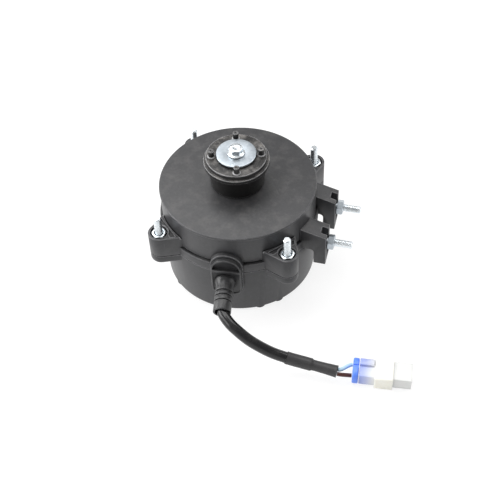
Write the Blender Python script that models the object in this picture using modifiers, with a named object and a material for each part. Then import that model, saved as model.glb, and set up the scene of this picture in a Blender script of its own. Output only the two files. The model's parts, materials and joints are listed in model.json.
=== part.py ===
"""Cooling fan motor: a closed round plastic motor with four through bolts, a blade hub and a short cable.

Metres, +Z up. The origin lies on the shaft axis, at the bottom of the rear housing, where the motor
stands on the bench. The two bracket screws point along +X and the cable leaves towards -Y.
"""

import math

import bmesh
import bpy
from mathutils import Matrix, Vector

# Body of the motor, heights measured from the bench
BODY_HEIGHT = 0.0575
SEAM_HEIGHT = 0.0332
FACE_RADIUS = 0.0411
LIP_STEP = 0.0003
LEDGE_STEP = 0.0011
LEDGE_HEIGHT = 0.0055
BASE_TAPER = 0.0017
BASE_ROUNDING = 0.0013
WALL = 0.0024
FLOOR = 0.0026
GAP = 0.0003

# Four lugs with the through bolts, on a square
BOLT_STAND_OFF = 0.006525
LUG_RISE = 0.013
LUG_DROP = 0.0052
LUG_RADIUS = 0.00575
LUG_FLARE = math.radians(24)
BOLT_RADIUS = 0.002
BOLT_STICKS_OUT = 0.0104
NUT_ACROSS_FLATS = 0.007
NUT_THICKNESS = 0.0032
HEAD_THICKNESS = 0.0028
HEX_CHAMFER = 0.00035

# Two claws for the bracket screws
CLAW_SPACING = 0.0254
CLAW_WIDTH = 0.0104
CLAW_REACH = 0.0095
CLAW_PLATE = 0.0064
CLAW_RISE = 0.0101
CLAW_SLOPE = 0.295
CLAW_DROP = 0.0097
CLAW_FILLET = 0.0024
CLAW_SLOT_DEPTH = 0.0034
CLAW_SLOT_SILL = 0.0025
BRACKET_BOLT_RISE = 0.0028
BRACKET_BOLT_STICKS_OUT = 0.013

# Hub for the fan blade
HUB_RIM_RADIUS = 0.01694
HUB_FOOT_RADIUS = 0.0158
HUB_TOP_RADIUS = 0.01564
HUB_RISE = 0.01822
HUB_RIM_DROP = 0.00236
HUB_WALL = 0.0022
HUB_CLEARANCE = 0.0007
HUB_TOP_THICKNESS = 0.0052
NIPPLE_CIRCLE_RADIUS = 0.0127
NIPPLE_RADIUS = 0.001525
NIPPLE_HEIGHT = 0.00378
NIPPLE_TURN = math.radians(15.35)
WASHER_RADIUS = 0.0103
WASHER_THICKNESS = 0.0011
BLADE_SCREW_RADIUS = 0.00208
BLADE_SCREW_FLANGE_RADIUS = 0.0045
BLADE_SCREW_ACROSS_FLATS = 0.00635
BLADE_SCREW_RISE = 0.00528

# Shaft and its two ball bearings
SHAFT_RADIUS = 0.004
SHAFT_COLLAR_RADIUS = 0.0055
BEARING_RADIUS = 0.011
BEARING_WIDTH = 0.007
FRONT_BEARING_COVER = 0.0025
REAR_BEARING_BOTTOM = 0.0048
BEARING_WALL = 0.0023
COLLAR_RISE = 0.0028

# Stator, rotor and circuit board
STATOR_MARGIN = 0.0012
STATOR_BORE = 0.0208
STATOR_YOKE = 0.0052
STATOR_BOTTOM = 0.012
STATOR_HEIGHT = 0.014
TEETH = 6
TOOTH_WIDTH = 0.007
SHOE_THICKNESS = 0.0016
SHOE_OPENING = math.radians(12)
COIL_THICKNESS = 0.0032
MAGNET_RADIUS = 0.02
MAGNET_THICKNESS = 0.0037
BOARD_BOTTOM = 0.04
BOARD_THICKNESS = 0.0016
BOARD_MARGIN = 0.0021
BOARD_HOLE_RADIUS = 0.015
BOARD_POST_INSET = 0.0045
BOARD_POST_RADIUS = 0.003
BOARD_SCREW_RADIUS = 0.0012
BOARD_SCREW_HEAD_RADIUS = 0.0026
BOARD_SCREW_REACH = 0.0032
BOARD_PARTS_INSET = 0.0101
CAPACITOR_RADIUS = 0.005
CAPACITOR_HEADROOM = 0.002
CHOKE_RADIUS = 0.0055
CHOKE_HEIGHT = 0.0033
MODULE_LENGTH = 0.016
MODULE_WIDTH = 0.009
MODULE_HEIGHT = 0.0035
TERMINAL_LENGTH = 0.012
TERMINAL_WIDTH = 0.0068
TERMINAL_HEIGHT = 0.0042
TERMINAL_INSET = 0.0057

# Rubber cable grommet: heights count from the seam, and the neck has its own direction and droop
GROMMET_ANGLE = math.radians(-84.5)
BOSS_STEP = 0.0021
BOSS_MARGIN = 0.0006
BOSS_HOOD = 0.0015
FLANGE_WIDTH = 0.0156
FLANGE_TOP = 0.0125
FLANGE_BOTTOM = -0.0138
FLANGE_CORNER = 0.0035
FLANGE_THICKNESS = 0.0018
FLANGE_RIM = 0.0008
FLANGE_DISH = 0.0011
RIB_TOP = 0.0049
RIB_THICKNESS = 0.0013
RIB_RISE = 0.0009
NECK_ANGLE = math.radians(-81.5)
NECK_DROOP = math.radians(8)
NECK_SHIFT = -0.0006
NECK_DROP = 0.0044
NECK_RADIUS = 0.0045
NECK_LENGTH = 0.0186
NECK_RINGS = (0.0074, 0.01, 0.013)
NECK_GROOVE = 0.0004
NECK_FLARE = 0.0019
NECK_BORE_RADIUS = 0.0039
NECK_BORE_DEPTH = 0.0032
PLUG_RADIUS = 0.0053

# Cable, its shrink sleeve and the two wires
CABLE_RADIUS = 0.0029
SLEEVE_RADIUS = 0.0033
WIRE_RADIUS = 0.00105
SLEEVE_LENGTH = 0.0265
SLEEVE_STEP_AT = 0.0135
SLEEVE_WALL = 0.0004

# Plug at the end of the cable
PLUG_TURN = math.radians(5)
PLUG_WIDTH = 0.0112
PLUG_HEIGHT = 0.0072
PLUG_LENGTH = 0.0262
PLUG_STAND_OFF = 0.0001
RETAINER_THICKNESS = 0.0031
RETAINER_WIDTH = 0.0126
RETAINER_HEIGHT = 0.0086
SHROUD_START = 0.0078
SHROUD_LENGTH = 0.0092
SHROUD_WALL = 0.0009
SHROUD_THIN_WALL = 0.0005
CONTACT_SPACING = 0.0066

# Underside of the rear housing: long recesses and small round feet at the rim
RECESS_DEPTH = 0.0015
RECESS_WIDTH = 0.0055
RECESS_PITCH = 0.0085
RECESS_INSET = 0.0099
RECESS_SIDE_INSET = 0.0215
FOOT_RADIUS = 0.0034
FOOT_OVERHANG = 0.0001
FOOT_HEIGHT = 0.0024
EXTRA_FOOT_ANGLE = math.radians(-61)

ROUND_STEPS = 40
MIDDLE_STEPS = 24
SMALL_STEPS = 12
TINY_STEPS = 8
SHARP_ANGLE = math.radians(32)
FLAT_ANGLE = math.radians(0.3)
OVERLAP = 0.0005
WELD = 0.000001


def scene_collection(name, hidden=False):
    """Makes a collection of this name below the scene's own."""
    made = bpy.data.collections.new(name)
    bpy.context.scene.collection.children.link(made)
    made.hide_render = hidden
    return made


def clear_scene():
    """Removes every object that the file opened with."""
    for obj in list(bpy.data.objects):
        bpy.data.objects.remove(obj, do_unlink=True)


clear_scene()
PARTS = scene_collection("fan_motor")
CUTTERS = scene_collection("cutters", hidden=True)


def material(name, colour, roughness, metallic=0.0, transmission=0.0):
    """A plain surface of one colour, given as linear red, green and blue."""
    made = bpy.data.materials.new(name)
    made.use_nodes = True
    surface = made.node_tree.nodes["Principled BSDF"]
    surface.inputs["Base Color"].default_value = (*colour, 1.0)
    surface.inputs["Roughness"].default_value = roughness
    surface.inputs["Metallic"].default_value = metallic
    surface.inputs["Transmission Weight"].default_value = transmission
    made.diffuse_color = (*colour, 1.0)
    return made


HOUSING_PLASTIC = material("housing_plastic", (0.048, 0.049, 0.052), 0.5)
HUB_PLASTIC = material("hub_plastic", (0.012, 0.012, 0.013), 0.3)
RUBBER = material("black_rubber", (0.022, 0.022, 0.024), 0.45)
ZINC = material("bright_zinc", (0.75, 0.77, 0.8), 0.22, 1.0)
STEEL = material("bearing_steel", (0.56, 0.57, 0.58), 0.28, 1.0)
LAMINATION = material("lamination_steel", (0.28, 0.29, 0.31), 0.45, 1.0)
COPPER = material("enamelled_copper", (0.62, 0.22, 0.07), 0.3, 1.0)
MAGNET = material("magnet_ferrite", (0.05, 0.05, 0.055), 0.6, 0.2)
INSULATOR = material("insulator_nylon", (0.55, 0.53, 0.46), 0.5)
BOARD_GREEN = material("circuit_board_green", (0.02, 0.14, 0.05), 0.4)
DARK_CASE = material("component_case", (0.02, 0.02, 0.022), 0.4)
CAN_SLEEVE = material("capacitor_sleeve", (0.03, 0.04, 0.12), 0.35)
CABLE_JACKET = material("cable_jacket", (0.018, 0.019, 0.022), 0.28)
SHRINK = material("shrink_sleeve", (0.03, 0.03, 0.033), 0.45)
BROWN_WIRE = material("brown_wire_skin", (0.075, 0.018, 0.012), 0.4)
BLUE_WIRE = material("blue_wire_skin", (0.18, 0.5, 0.8), 0.35)
BLUE_NYLON = material("blue_nylon", (0.012, 0.09, 0.72), 0.35)
CLEAR_NYLON = material("clear_nylon", (0.75, 0.82, 0.93), 0.3, 0.0, 0.3)
IVORY_NYLON = material("ivory_nylon", (0.86, 0.83, 0.7), 0.4)
TIN = material("tinned_brass", (0.7, 0.68, 0.6), 0.3, 1.0)


def tool_object(name, data, matrix=None):
    """Puts new data in the scene as a helper that the render leaves out."""
    obj = bpy.data.objects.new(name, data)
    CUTTERS.objects.link(obj)
    obj.hide_render = True
    obj.display_type = "WIRE"
    if matrix is not None:
        obj.matrix_world = matrix
    return obj


def evaluated_mesh(obj):
    """The object's mesh with its modifiers, in its own coordinates."""
    bpy.context.view_layer.update()
    graph = bpy.context.evaluated_depsgraph_get()
    return bpy.data.meshes.new_from_object(obj.evaluated_get(graph))


def tidy_mesh(mesh):
    """Welds loose caps and turns every face outwards."""
    work = bmesh.new()
    work.from_mesh(mesh)
    bmesh.ops.remove_doubles(work, verts=work.verts, dist=WELD)
    bmesh.ops.recalc_face_normals(work, faces=work.faces)
    work.to_mesh(mesh)
    work.free()


def merge_flat_faces(mesh):
    """Joins neighbouring faces that lie in one plane and drops points along straight edges."""
    work = bmesh.new()
    work.from_mesh(mesh)
    bmesh.ops.remove_doubles(work, verts=work.verts, dist=WELD)
    plain = [edge for edge in work.edges if all(len(face.verts) == 4 for face in edge.link_faces)]
    rest = list(set(work.edges) - set(plain))
    bmesh.ops.dissolve_limit(work, angle_limit=FLAT_ANGLE, verts=work.verts, edges=rest)
    work.to_mesh(mesh)
    work.free()


def curve_to_mesh(obj):
    """Swaps a helper curve for a closed mesh helper in the same place."""
    mesh = evaluated_mesh(obj)
    tidy_mesh(mesh)
    made = tool_object(obj.name + "_mesh", mesh, obj.matrix_world.copy())
    bpy.data.objects.remove(obj, do_unlink=True)
    return made


def turned(name, profile, steps=ROUND_STEPS, ring=False, matrix=None):
    """A profile of (radius, height) points turned about the local Z axis.

    The profile runs down its outer side. A ring's profile is closed on itself.
    """
    mesh = bpy.data.meshes.new(name)
    edges = [(i, i + 1) for i in range(len(profile) - 1)]
    if ring:
        edges.append((len(profile) - 1, 0))
    mesh.from_pydata([(radius, 0.0, height) for radius, height in profile], edges, [])
    obj = tool_object(name, mesh, matrix)
    screw = obj.modifiers.new("turn", "SCREW")
    screw.axis = "Z"
    screw.steps = steps
    screw.render_steps = steps
    screw.use_merge_vertices = True
    screw.merge_threshold = WELD
    return obj


def rod(name, radius, bottom, top, steps=SMALL_STEPS, matrix=None):
    """A plain cylinder on the local Z axis between two heights."""
    return turned(name, [(0.0, top), (radius, top), (radius, bottom), (0.0, bottom)], steps, matrix=matrix)


def tube(name, outer, inner, bottom, top, steps=MIDDLE_STEPS, matrix=None):
    """A plain ring of square section between two heights."""
    profile = [(inner, top), (outer, top), (outer, bottom), (inner, bottom)]
    return turned(name, profile, steps, ring=True, matrix=matrix)


def hexagon(name, across_flats, bottom, top, matrix=None):
    """A six-sided prism on the local Z axis, with two flats facing local Y."""
    mesh = bpy.data.meshes.new(name)
    work = bmesh.new()
    corner = across_flats / 2 / math.cos(math.pi / 6)
    bmesh.ops.create_cone(
        work, cap_ends=True, segments=6, radius1=corner, radius2=corner, depth=top - bottom
    )
    bmesh.ops.translate(work, verts=work.verts, vec=(0.0, 0.0, (top + bottom) / 2))
    work.to_mesh(mesh)
    work.free()
    return tool_object(name, mesh, matrix)


def block(name, low, high, matrix=None):
    """A box between two opposite corners."""
    mesh = bpy.data.meshes.new(name)
    work = bmesh.new()
    bmesh.ops.create_cube(work, size=1.0)
    size = [b - a for a, b in zip(low, high)]
    middle = [(a + b) / 2 for a, b in zip(low, high)]
    bmesh.ops.scale(work, verts=work.verts, vec=size)
    bmesh.ops.translate(work, verts=work.verts, vec=middle)
    work.to_mesh(mesh)
    work.free()
    return tool_object(name, mesh, matrix)


def prism(name, outlines, bottom, top, matrix=None):
    """Flat outlines, holes included, given thickness between two local heights."""
    curve = bpy.data.curves.new(name, "CURVE")
    curve.dimensions = "2D"
    curve.fill_mode = "BOTH"
    curve.extrude = (top - bottom) / 2
    for outline in outlines:
        spline = curve.splines.new("POLY")
        spline.points.add(len(outline) - 1)
        for point, (x, y) in zip(spline.points, outline):
            point.co = (x, y, 0.0, 1.0)
        spline.use_cyclic_u = True
    lift = Matrix.Translation((0.0, 0.0, (top + bottom) / 2))
    base = matrix if matrix is not None else Matrix.Identity(4)
    obj = tool_object(name, curve, base @ lift)
    return curve_to_mesh(obj)


def bevel(obj, width, segments=2, chosen=None):
    """Rounds the helper's edges, all of them or those whose middle is chosen."""
    work = bmesh.new()
    work.from_mesh(obj.data)
    edges = [
        edge
        for edge in work.edges
        if edge.calc_face_angle(0.0) > SHARP_ANGLE
        and (chosen is None or chosen((edge.verts[0].co + edge.verts[1].co) / 2))
    ]
    bmesh.ops.bevel(
        work,
        geom=edges,
        offset=width,
        offset_type="OFFSET",
        segments=segments,
        profile=0.5,
        affect="EDGES",
        clamp_overlap=True,
    )
    work.to_mesh(obj.data)
    work.free()
    return obj


def boolean(obj, other, operation):
    """Adds one exact Boolean to the object."""
    step = obj.modifiers.new(operation.lower(), "BOOLEAN")
    step.operation = operation
    step.solver = "EXACT"
    step.object = other
    return obj


def join(obj, *others):
    """Unites the object with each of the others."""
    for other in others:
        boolean(obj, other, "UNION")
    return obj


def cut(obj, *others):
    """Cuts each of the others out of the object."""
    for other in others:
        boolean(obj, other, "DIFFERENCE")
    return obj


def piece(name, obj, surface, parent=None):
    """Turns a finished helper into a named part with smooth rounds and sharp edges."""
    mesh = evaluated_mesh(obj)
    mesh.name = name
    if obj.type == "CURVE":
        tidy_mesh(mesh)
    else:
        merge_flat_faces(mesh)
    mesh.materials.clear()
    mesh.materials.append(surface)
    mesh.shade_smooth()
    mesh.set_sharp_from_angle(angle=SHARP_ANGLE)
    made = bpy.data.objects.new(name, mesh)
    PARTS.objects.link(made)
    made.matrix_world = obj.matrix_world.copy()
    bpy.data.objects.remove(obj, do_unlink=True)
    if parent is not None:
        made.parent = parent
    return made


def copy_of(name, original, matrix, parent=None):
    """Another part that shares the mesh of the first."""
    made = bpy.data.objects.new(name, original.data)
    PARTS.objects.link(made)
    made.matrix_world = matrix
    if parent is not None:
        made.parent = parent
    return made


def spin(angle):
    """A turn about the shaft axis."""
    return Matrix.Rotation(angle, 4, "Z")


def outwards(angle, radius, height):
    """A frame whose local Z points away from the shaft, local Y up and local X along the wall."""
    along = Vector((-math.sin(angle), math.cos(angle), 0.0))
    away = Vector((math.cos(angle), math.sin(angle), 0.0))
    up = Vector((0.0, 0.0, 1.0))
    turn = Matrix((along, up, away)).transposed().to_4x4()
    return Matrix.Translation(away * radius + up * height) @ turn


def arc(centre, radius, start, end, count):
    """Points along an arc, from the start angle to the end angle."""
    return [
        (
            centre[0] + radius * math.cos(start + (end - start) * i / (count - 1)),
            centre[1] + radius * math.sin(start + (end - start) * i / (count - 1)),
        )
        for i in range(count)
    ]


def gland_outline(margin=0.0, hood=0.0):
    """The grommet flange's outline: round arch above, straight sides and small corners below."""
    half = FLANGE_WIDTH / 2 + margin
    bottom = FLANGE_BOTTOM - margin
    corner = FLANGE_CORNER + margin
    arch = arc((0.0, FLANGE_TOP + margin + hood - half), half, 0.0, math.pi, 9)
    left = arc((corner - half, bottom + corner), corner, math.pi, 1.5 * math.pi, 4)
    right = arc((half - corner, bottom + corner), corner, 1.5 * math.pi, 2 * math.pi, 4)
    return arch + left + right


def rounded_rectangle(width, height, radius, count=4):
    """An outline with four rounded corners, centred on the origin."""
    points = []
    quarter = math.pi / 2
    for corner, (sx, sy) in enumerate(((1, 1), (-1, 1), (-1, -1), (1, -1))):
        centre = (sx * (width / 2 - radius), sy * (height / 2 - radius))
        points += arc(centre, radius, corner * quarter, (corner + 1) * quarter, count)
    return points


# Sizes that follow from the ones above
WALL_RADIUS = FACE_RADIUS - LIP_STEP
LEDGE_RADIUS = FACE_RADIUS + LEDGE_STEP
BASE_RADIUS = LEDGE_RADIUS - BASE_TAPER
BOLT_CIRCLE_RADIUS = FACE_RADIUS + BOLT_STAND_OFF
LUG_TOP = SEAM_HEIGHT + LUG_RISE
LUG_BOTTOM = SEAM_HEIGHT - LUG_DROP
BOLT_TOP = LUG_TOP + BOLT_STICKS_OUT
CLAW_FACE = FACE_RADIUS + CLAW_REACH
CLAW_INNER_FACE = CLAW_FACE - CLAW_PLATE
CLAW_FACE_TOP = SEAM_HEIGHT + CLAW_RISE
CLAW_BOTTOM = SEAM_HEIGHT - CLAW_DROP
CLAW_SLOT_BOTTOM = CLAW_BOTTOM + CLAW_SLOT_SILL
BRACKET_BOLT_HEIGHT = SEAM_HEIGHT + BRACKET_BOLT_RISE
BRACKET_BOLT_END = CLAW_FACE + BRACKET_BOLT_STICKS_OUT
BOSS_FACE = FACE_RADIUS + BOSS_STEP
HUB_TOP = BODY_HEIGHT + HUB_RISE
HUB_RIM_TOP = HUB_TOP - HUB_RIM_DROP
HUB_FOOT = BODY_HEIGHT + HUB_CLEARANCE
NIPPLE_TOP = HUB_TOP + NIPPLE_HEIGHT
BLADE_SCREW_TOP = HUB_TOP + BLADE_SCREW_RISE
COLLAR_TOP = BODY_HEIGHT + COLLAR_RISE
FRONT_BEARING_BOTTOM = BODY_HEIGHT - FRONT_BEARING_COVER - BEARING_WIDTH
LEDGE_TOP = SEAM_HEIGHT + LEDGE_HEIGHT
FRONT_BOTTOM = SEAM_HEIGHT + GAP / 2
REAR_TOP = SEAM_HEIGHT - GAP / 2
INNER_RADIUS = WALL_RADIUS - WALL
STATOR_RADIUS = INNER_RADIUS - STATOR_MARGIN
BOARD_RADIUS = INNER_RADIUS - BOARD_MARGIN
BOARD_POST_CIRCLE = BOARD_RADIUS - BOARD_POST_INSET
BOARD_PARTS_CIRCLE = BOARD_RADIUS - BOARD_PARTS_INSET
SEAT_RADIUS = BEARING_RADIUS + GAP
BOSS_RADIUS = SEAT_RADIUS + BEARING_WALL
SHOULDER_RADIUS = BEARING_RADIUS - 0.0017
FRONT_BEARING_TOP = FRONT_BEARING_BOTTOM + BEARING_WIDTH
CEILING = FRONT_BEARING_TOP + GAP + 0.0001
REAR_BEARING_TOP = REAR_BEARING_BOTTOM + BEARING_WIDTH
REAR_WASHER_THICKNESS = 0.0006
STATOR_TOP = STATOR_BOTTOM + STATOR_HEIGHT
GASKET_GROOVE_DEPTH = 0.00145
GASKET_GROOVE_INNER = WALL_RADIUS - 0.0009
GASKET_GROOVE_OUTER = LEDGE_RADIUS - 0.0011
STATOR_MIDDLE = STATOR_BOTTOM + STATOR_HEIGHT / 2
BOARD_TOP = BOARD_BOTTOM + BOARD_THICKNESS
NUT_TOP = LUG_TOP - GAP / 3
NUT_BOTTOM = NUT_TOP - NUT_THICKNESS
NUT_POCKET_RADIUS = NUT_ACROSS_FLATS / 2 / math.cos(math.pi / 6) + GAP + 0.00006
BOLT_HOLE_RADIUS = BOLT_RADIUS + GAP
QUARTER = math.pi / 2
HUB_BORE = SHAFT_RADIUS + GAP
SHAFT_TOP = HUB_TOP - 0.0034 - GAP
CORNER_ANGLES = [math.pi / 4 + QUARTER * i for i in range(4)]
CORNER_NAMES = ("back_right", "back_left", "front_left", "front_right")
CLAW_SIDES = (("back", CLAW_SPACING / 2), ("front", -CLAW_SPACING / 2))
GROMMET_HEIGHT = SEAM_HEIGHT
SHROUD_HEIGHT = PLUG_HEIGHT + 2 * GAP + 2 * SHROUD_THIN_WALL


def lug_outline(inner_edge, inset=0.0):
    """A lug seen from above, its bolt on the local X axis and its inner end square."""
    tangent = math.pi / 2 - LUG_FLARE
    nose = arc((BOLT_CIRCLE_RADIUS, 0.0), LUG_RADIUS - inset, -tangent, tangent, 7)
    tip_x, tip_y = nose[-1]
    inner_y = tip_y + (tip_x - inner_edge) * math.tan(LUG_FLARE)
    return nose + [(inner_edge, inner_y), (inner_edge, -inner_y)]


def lug_hollow_outline():
    """The slightly sunk field on top of a front lug, between the bolt pocket and the body."""
    rim = 0.0011
    inner_edge = WALL_RADIUS + 0.0013
    outline = lug_outline(inner_edge, rim)
    round_part = arc((BOLT_CIRCLE_RADIUS, 0.0), LUG_RADIUS - rim / 2, math.radians(230), math.radians(130), 5)
    reach = round_part[-1][0] + 0.0005
    tip_x, tip_y = outline[6]
    side_y = tip_y + (tip_x - reach) * math.tan(LUG_FLARE)
    inner_y = outline[7][1]
    return [(inner_edge, -inner_y), (reach, -side_y)] + round_part + [(reach, side_y), (inner_edge, inner_y)]


def stepped_hole(name, pocket_end, seat, hole_end, at):
    """A pocket for a nut or a head that goes on as a clearance hole for the bolt."""
    profile = [
        (0.0, pocket_end),
        (NUT_POCKET_RADIUS, pocket_end),
        (NUT_POCKET_RADIUS, seat),
        (BOLT_HOLE_RADIUS, seat),
        (BOLT_HOLE_RADIUS, hole_end),
        (0.0, hole_end),
    ]
    if pocket_end < hole_end:
        profile.reverse()
    return turned(name, profile, SMALL_STEPS, matrix=at)


def front_shell_profile():
    """Section of the front housing's shell: flat face, lip, wall, groove and ledge."""
    return [
        (SEAT_RADIUS - 0.001, BODY_HEIGHT),
        (FACE_RADIUS - 0.0008, BODY_HEIGHT),
        (FACE_RADIUS, BODY_HEIGHT - 0.0008),
        (WALL_RADIUS, BODY_HEIGHT - 0.0019),
        (WALL_RADIUS, LEDGE_TOP + 0.001),
        (WALL_RADIUS - 0.0006, LEDGE_TOP),
        (LEDGE_RADIUS - 0.0004, LEDGE_TOP),
        (LEDGE_RADIUS, LEDGE_TOP - 0.0004),
        (LEDGE_RADIUS, FRONT_BOTTOM),
        (INNER_RADIUS, FRONT_BOTTOM),
        (INNER_RADIUS, CEILING),
        (SEAT_RADIUS - 0.001, CEILING),
    ]


def front_seat_profile():
    """Section of the collar above the face and the bearing seat below it."""
    return [
        (SHOULDER_RADIUS, COLLAR_TOP),
        (SEAT_RADIUS, COLLAR_TOP),
        (SEAT_RADIUS, CEILING + OVERLAP),
        (BOSS_RADIUS, CEILING + OVERLAP),
        (BOSS_RADIUS, FRONT_BEARING_BOTTOM - GAP),
        (SEAT_RADIUS, FRONT_BEARING_BOTTOM - GAP),
        (SEAT_RADIUS, FRONT_BEARING_TOP + GAP),
        (SHOULDER_RADIUS, FRONT_BEARING_TOP + GAP),
    ]


def rear_shell_profile():
    """Section of the rear housing's shell, from its floor over the rim and down to the bench."""
    stator_seat = STATOR_RADIUS + GAP
    rear_inner = WALL_RADIUS - 0.0019
    return [
        (0.0, FLOOR),
        (stator_seat - 0.004, FLOOR),
        (stator_seat - 0.004, STATOR_BOTTOM - GAP),
        (stator_seat, STATOR_BOTTOM - GAP),
        (stator_seat, STATOR_TOP + GAP),
        (rear_inner, STATOR_TOP + GAP + (rear_inner - stator_seat)),
        (rear_inner, REAR_TOP),
        (LEDGE_RADIUS, REAR_TOP),
        (BASE_RADIUS, BASE_ROUNDING),
        (BASE_RADIUS - BASE_ROUNDING, 0.0),
        (0.0, 0.0),
    ]


def rear_seat_profile():
    """Section of the bearing seat that stands on the rear housing's floor."""
    seat_floor = REAR_BEARING_BOTTOM - 2 * GAP - REAR_WASHER_THICKNESS
    boss_top = REAR_BEARING_TOP - 0.0008
    return [
        (SEAT_RADIUS, boss_top),
        (BOSS_RADIUS, boss_top),
        (BOSS_RADIUS, FLOOR - OVERLAP),
        (SHOULDER_RADIUS, FLOOR - OVERLAP),
        (SHOULDER_RADIUS, seat_floor),
        (SEAT_RADIUS, seat_floor),
    ]


def claw_outline():
    """A bracket claw seen from the side, X along the screw and Y up."""
    inner = WALL_RADIUS * 0.89
    top = CLAW_FACE_TOP + (CLAW_FACE - inner) * CLAW_SLOPE
    underside = FRONT_BOTTOM + 0.0001
    fillet = arc(
        (CLAW_INNER_FACE - CLAW_FILLET, underside - CLAW_FILLET), CLAW_FILLET, 0.0, math.pi / 2, 5
    )
    return [
        (inner, top),
        (inner, underside),
        *reversed(fillet),
        (CLAW_INNER_FACE, CLAW_BOTTOM),
        (CLAW_FACE, CLAW_BOTTOM),
        (CLAW_FACE, CLAW_FACE_TOP),
    ]


def build_claw(side, offset):
    """One claw: an arm from the wall with a plate that hangs down."""
    sideways = Matrix.Translation((0.0, offset, 0.0)) @ Matrix.Rotation(math.pi / 2, 4, "X")
    claw = prism(f"claw_{side}", [claw_outline()], -CLAW_WIDTH / 2, CLAW_WIDTH / 2, sideways)
    bevel(claw, 0.0003, 1)
    return cut(claw, rod(f"claw_trim_{side}", WALL_RADIUS - WALL / 2, CLAW_BOTTOM, BODY_HEIGHT, ROUND_STEPS))


def claw_cutters(side, offset):
    """The open slot for the screw and the pocket that holds its head."""
    slot = block(
        f"claw_slot_{side}",
        (CLAW_FACE - CLAW_SLOT_DEPTH, offset - BOLT_HOLE_RADIUS, CLAW_SLOT_BOTTOM),
        (CLAW_FACE + OVERLAP, offset + BOLT_HOLE_RADIUS, LUG_TOP + OVERLAP),
    )
    along = Matrix.Translation((0.0, offset, BRACKET_BOLT_HEIGHT)) @ Matrix.Rotation(math.pi / 2, 4, "Y")
    pocket = hexagon(
        f"claw_pocket_{side}",
        NUT_ACROSS_FLATS + 2 * GAP,
        CLAW_INNER_FACE - OVERLAP,
        CLAW_FACE - CLAW_SLOT_DEPTH + OVERLAP / 5,
        along,
    )
    return slot, pocket


def boss_half(upper):
    """The raised frame round the grommet, the half above or below the seam."""
    frame = outwards(GROMMET_ANGLE, 0.0, GROMMET_HEIGHT)
    start = WALL_RADIUS - 0.0018
    outline = gland_outline(BOSS_MARGIN, BOSS_HOOD - BOSS_MARGIN)
    boss = prism("grommet_boss", [outline], start, BOSS_FACE, frame)
    bevel(boss, 0.0004, 1, lambda middle: middle.z > 0.0)
    reach = 2 * FLANGE_WIDTH
    if upper:
        low, high = -reach, FRONT_BOTTOM - GROMMET_HEIGHT
    else:
        low, high = REAR_TOP - GROMMET_HEIGHT, reach
    half = block("grommet_boss_half", (-reach, low, start - reach), (reach, high, BOSS_FACE + reach), frame)
    return cut(boss, half)


def grommet_opening():
    """The round hole in the wall that the grommet's plug passes through."""
    frame = outwards(GROMMET_ANGLE, 0.0, GROMMET_HEIGHT)
    return rod("grommet_opening", PLUG_RADIUS + GAP, INNER_RADIUS - 0.005, BOSS_FACE + 0.002, 24, frame)


def build_front_housing():
    """The upper shell: flat face, wall, lugs with nut pockets, two claws and board posts."""
    body = turned("front_housing_body", front_shell_profile(), ring=True)
    join(body, turned("front_bearing_seat", front_seat_profile(), MIDDLE_STEPS, ring=True))
    slit = tube("lug_slit", WALL_RADIUS + 0.0005, WALL_RADIUS - 0.001, LUG_TOP - 0.0011, LUG_TOP + 0.002, ROUND_STEPS)
    for name, angle in zip(CORNER_NAMES, CORNER_ANGLES):
        lug = prism(f"front_lug_{name}", [lug_outline(WALL_RADIUS - 0.0021)], FRONT_BOTTOM, LUG_TOP, spin(angle))
        bevel(lug, 0.0003, 1, lambda middle: middle.z > 0.0)
        join(body, cut(lug, slit))
    for side, offset in CLAW_SIDES:
        join(body, build_claw(side, offset))
    join(body, boss_half(True))
    for index in range(3):
        angle = QUARTER + index * 2 * math.pi / 3
        at = spin(angle) @ Matrix.Translation((BOARD_POST_CIRCLE, 0.0, 0.0))
        post = rod(f"board_post_{index}", BOARD_POST_RADIUS, BOARD_TOP + GAP, CEILING + OVERLAP, TINY_STEPS, at)
        join(body, post)
        hole_end = BOARD_TOP + BOARD_SCREW_REACH + GAP
        hole = rod(f"post_hole_{index}", BOARD_SCREW_RADIUS + GAP, BOARD_TOP - OVERLAP, hole_end, TINY_STEPS, at)
        cut(body, hole)
    for name, angle in zip(CORNER_NAMES, CORNER_ANGLES):
        at = spin(angle) @ Matrix.Translation((BOLT_CIRCLE_RADIUS, 0.0, 0.0))
        hollow = prism(f"lug_hollow_{name}", [lug_hollow_outline()], LUG_TOP - 0.0006, LUG_TOP + OVERLAP, spin(angle))
        seat = stepped_hole(f"nut_seat_{name}", LUG_TOP + OVERLAP, NUT_BOTTOM - GAP, FRONT_BOTTOM - OVERLAP, at)
        cut(body, hollow, seat)
    for side, offset in CLAW_SIDES:
        cut(body, *claw_cutters(side, offset))
    cut(body, grommet_opening())
    return piece("front_housing", body, HOUSING_PLASTIC)


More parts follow.
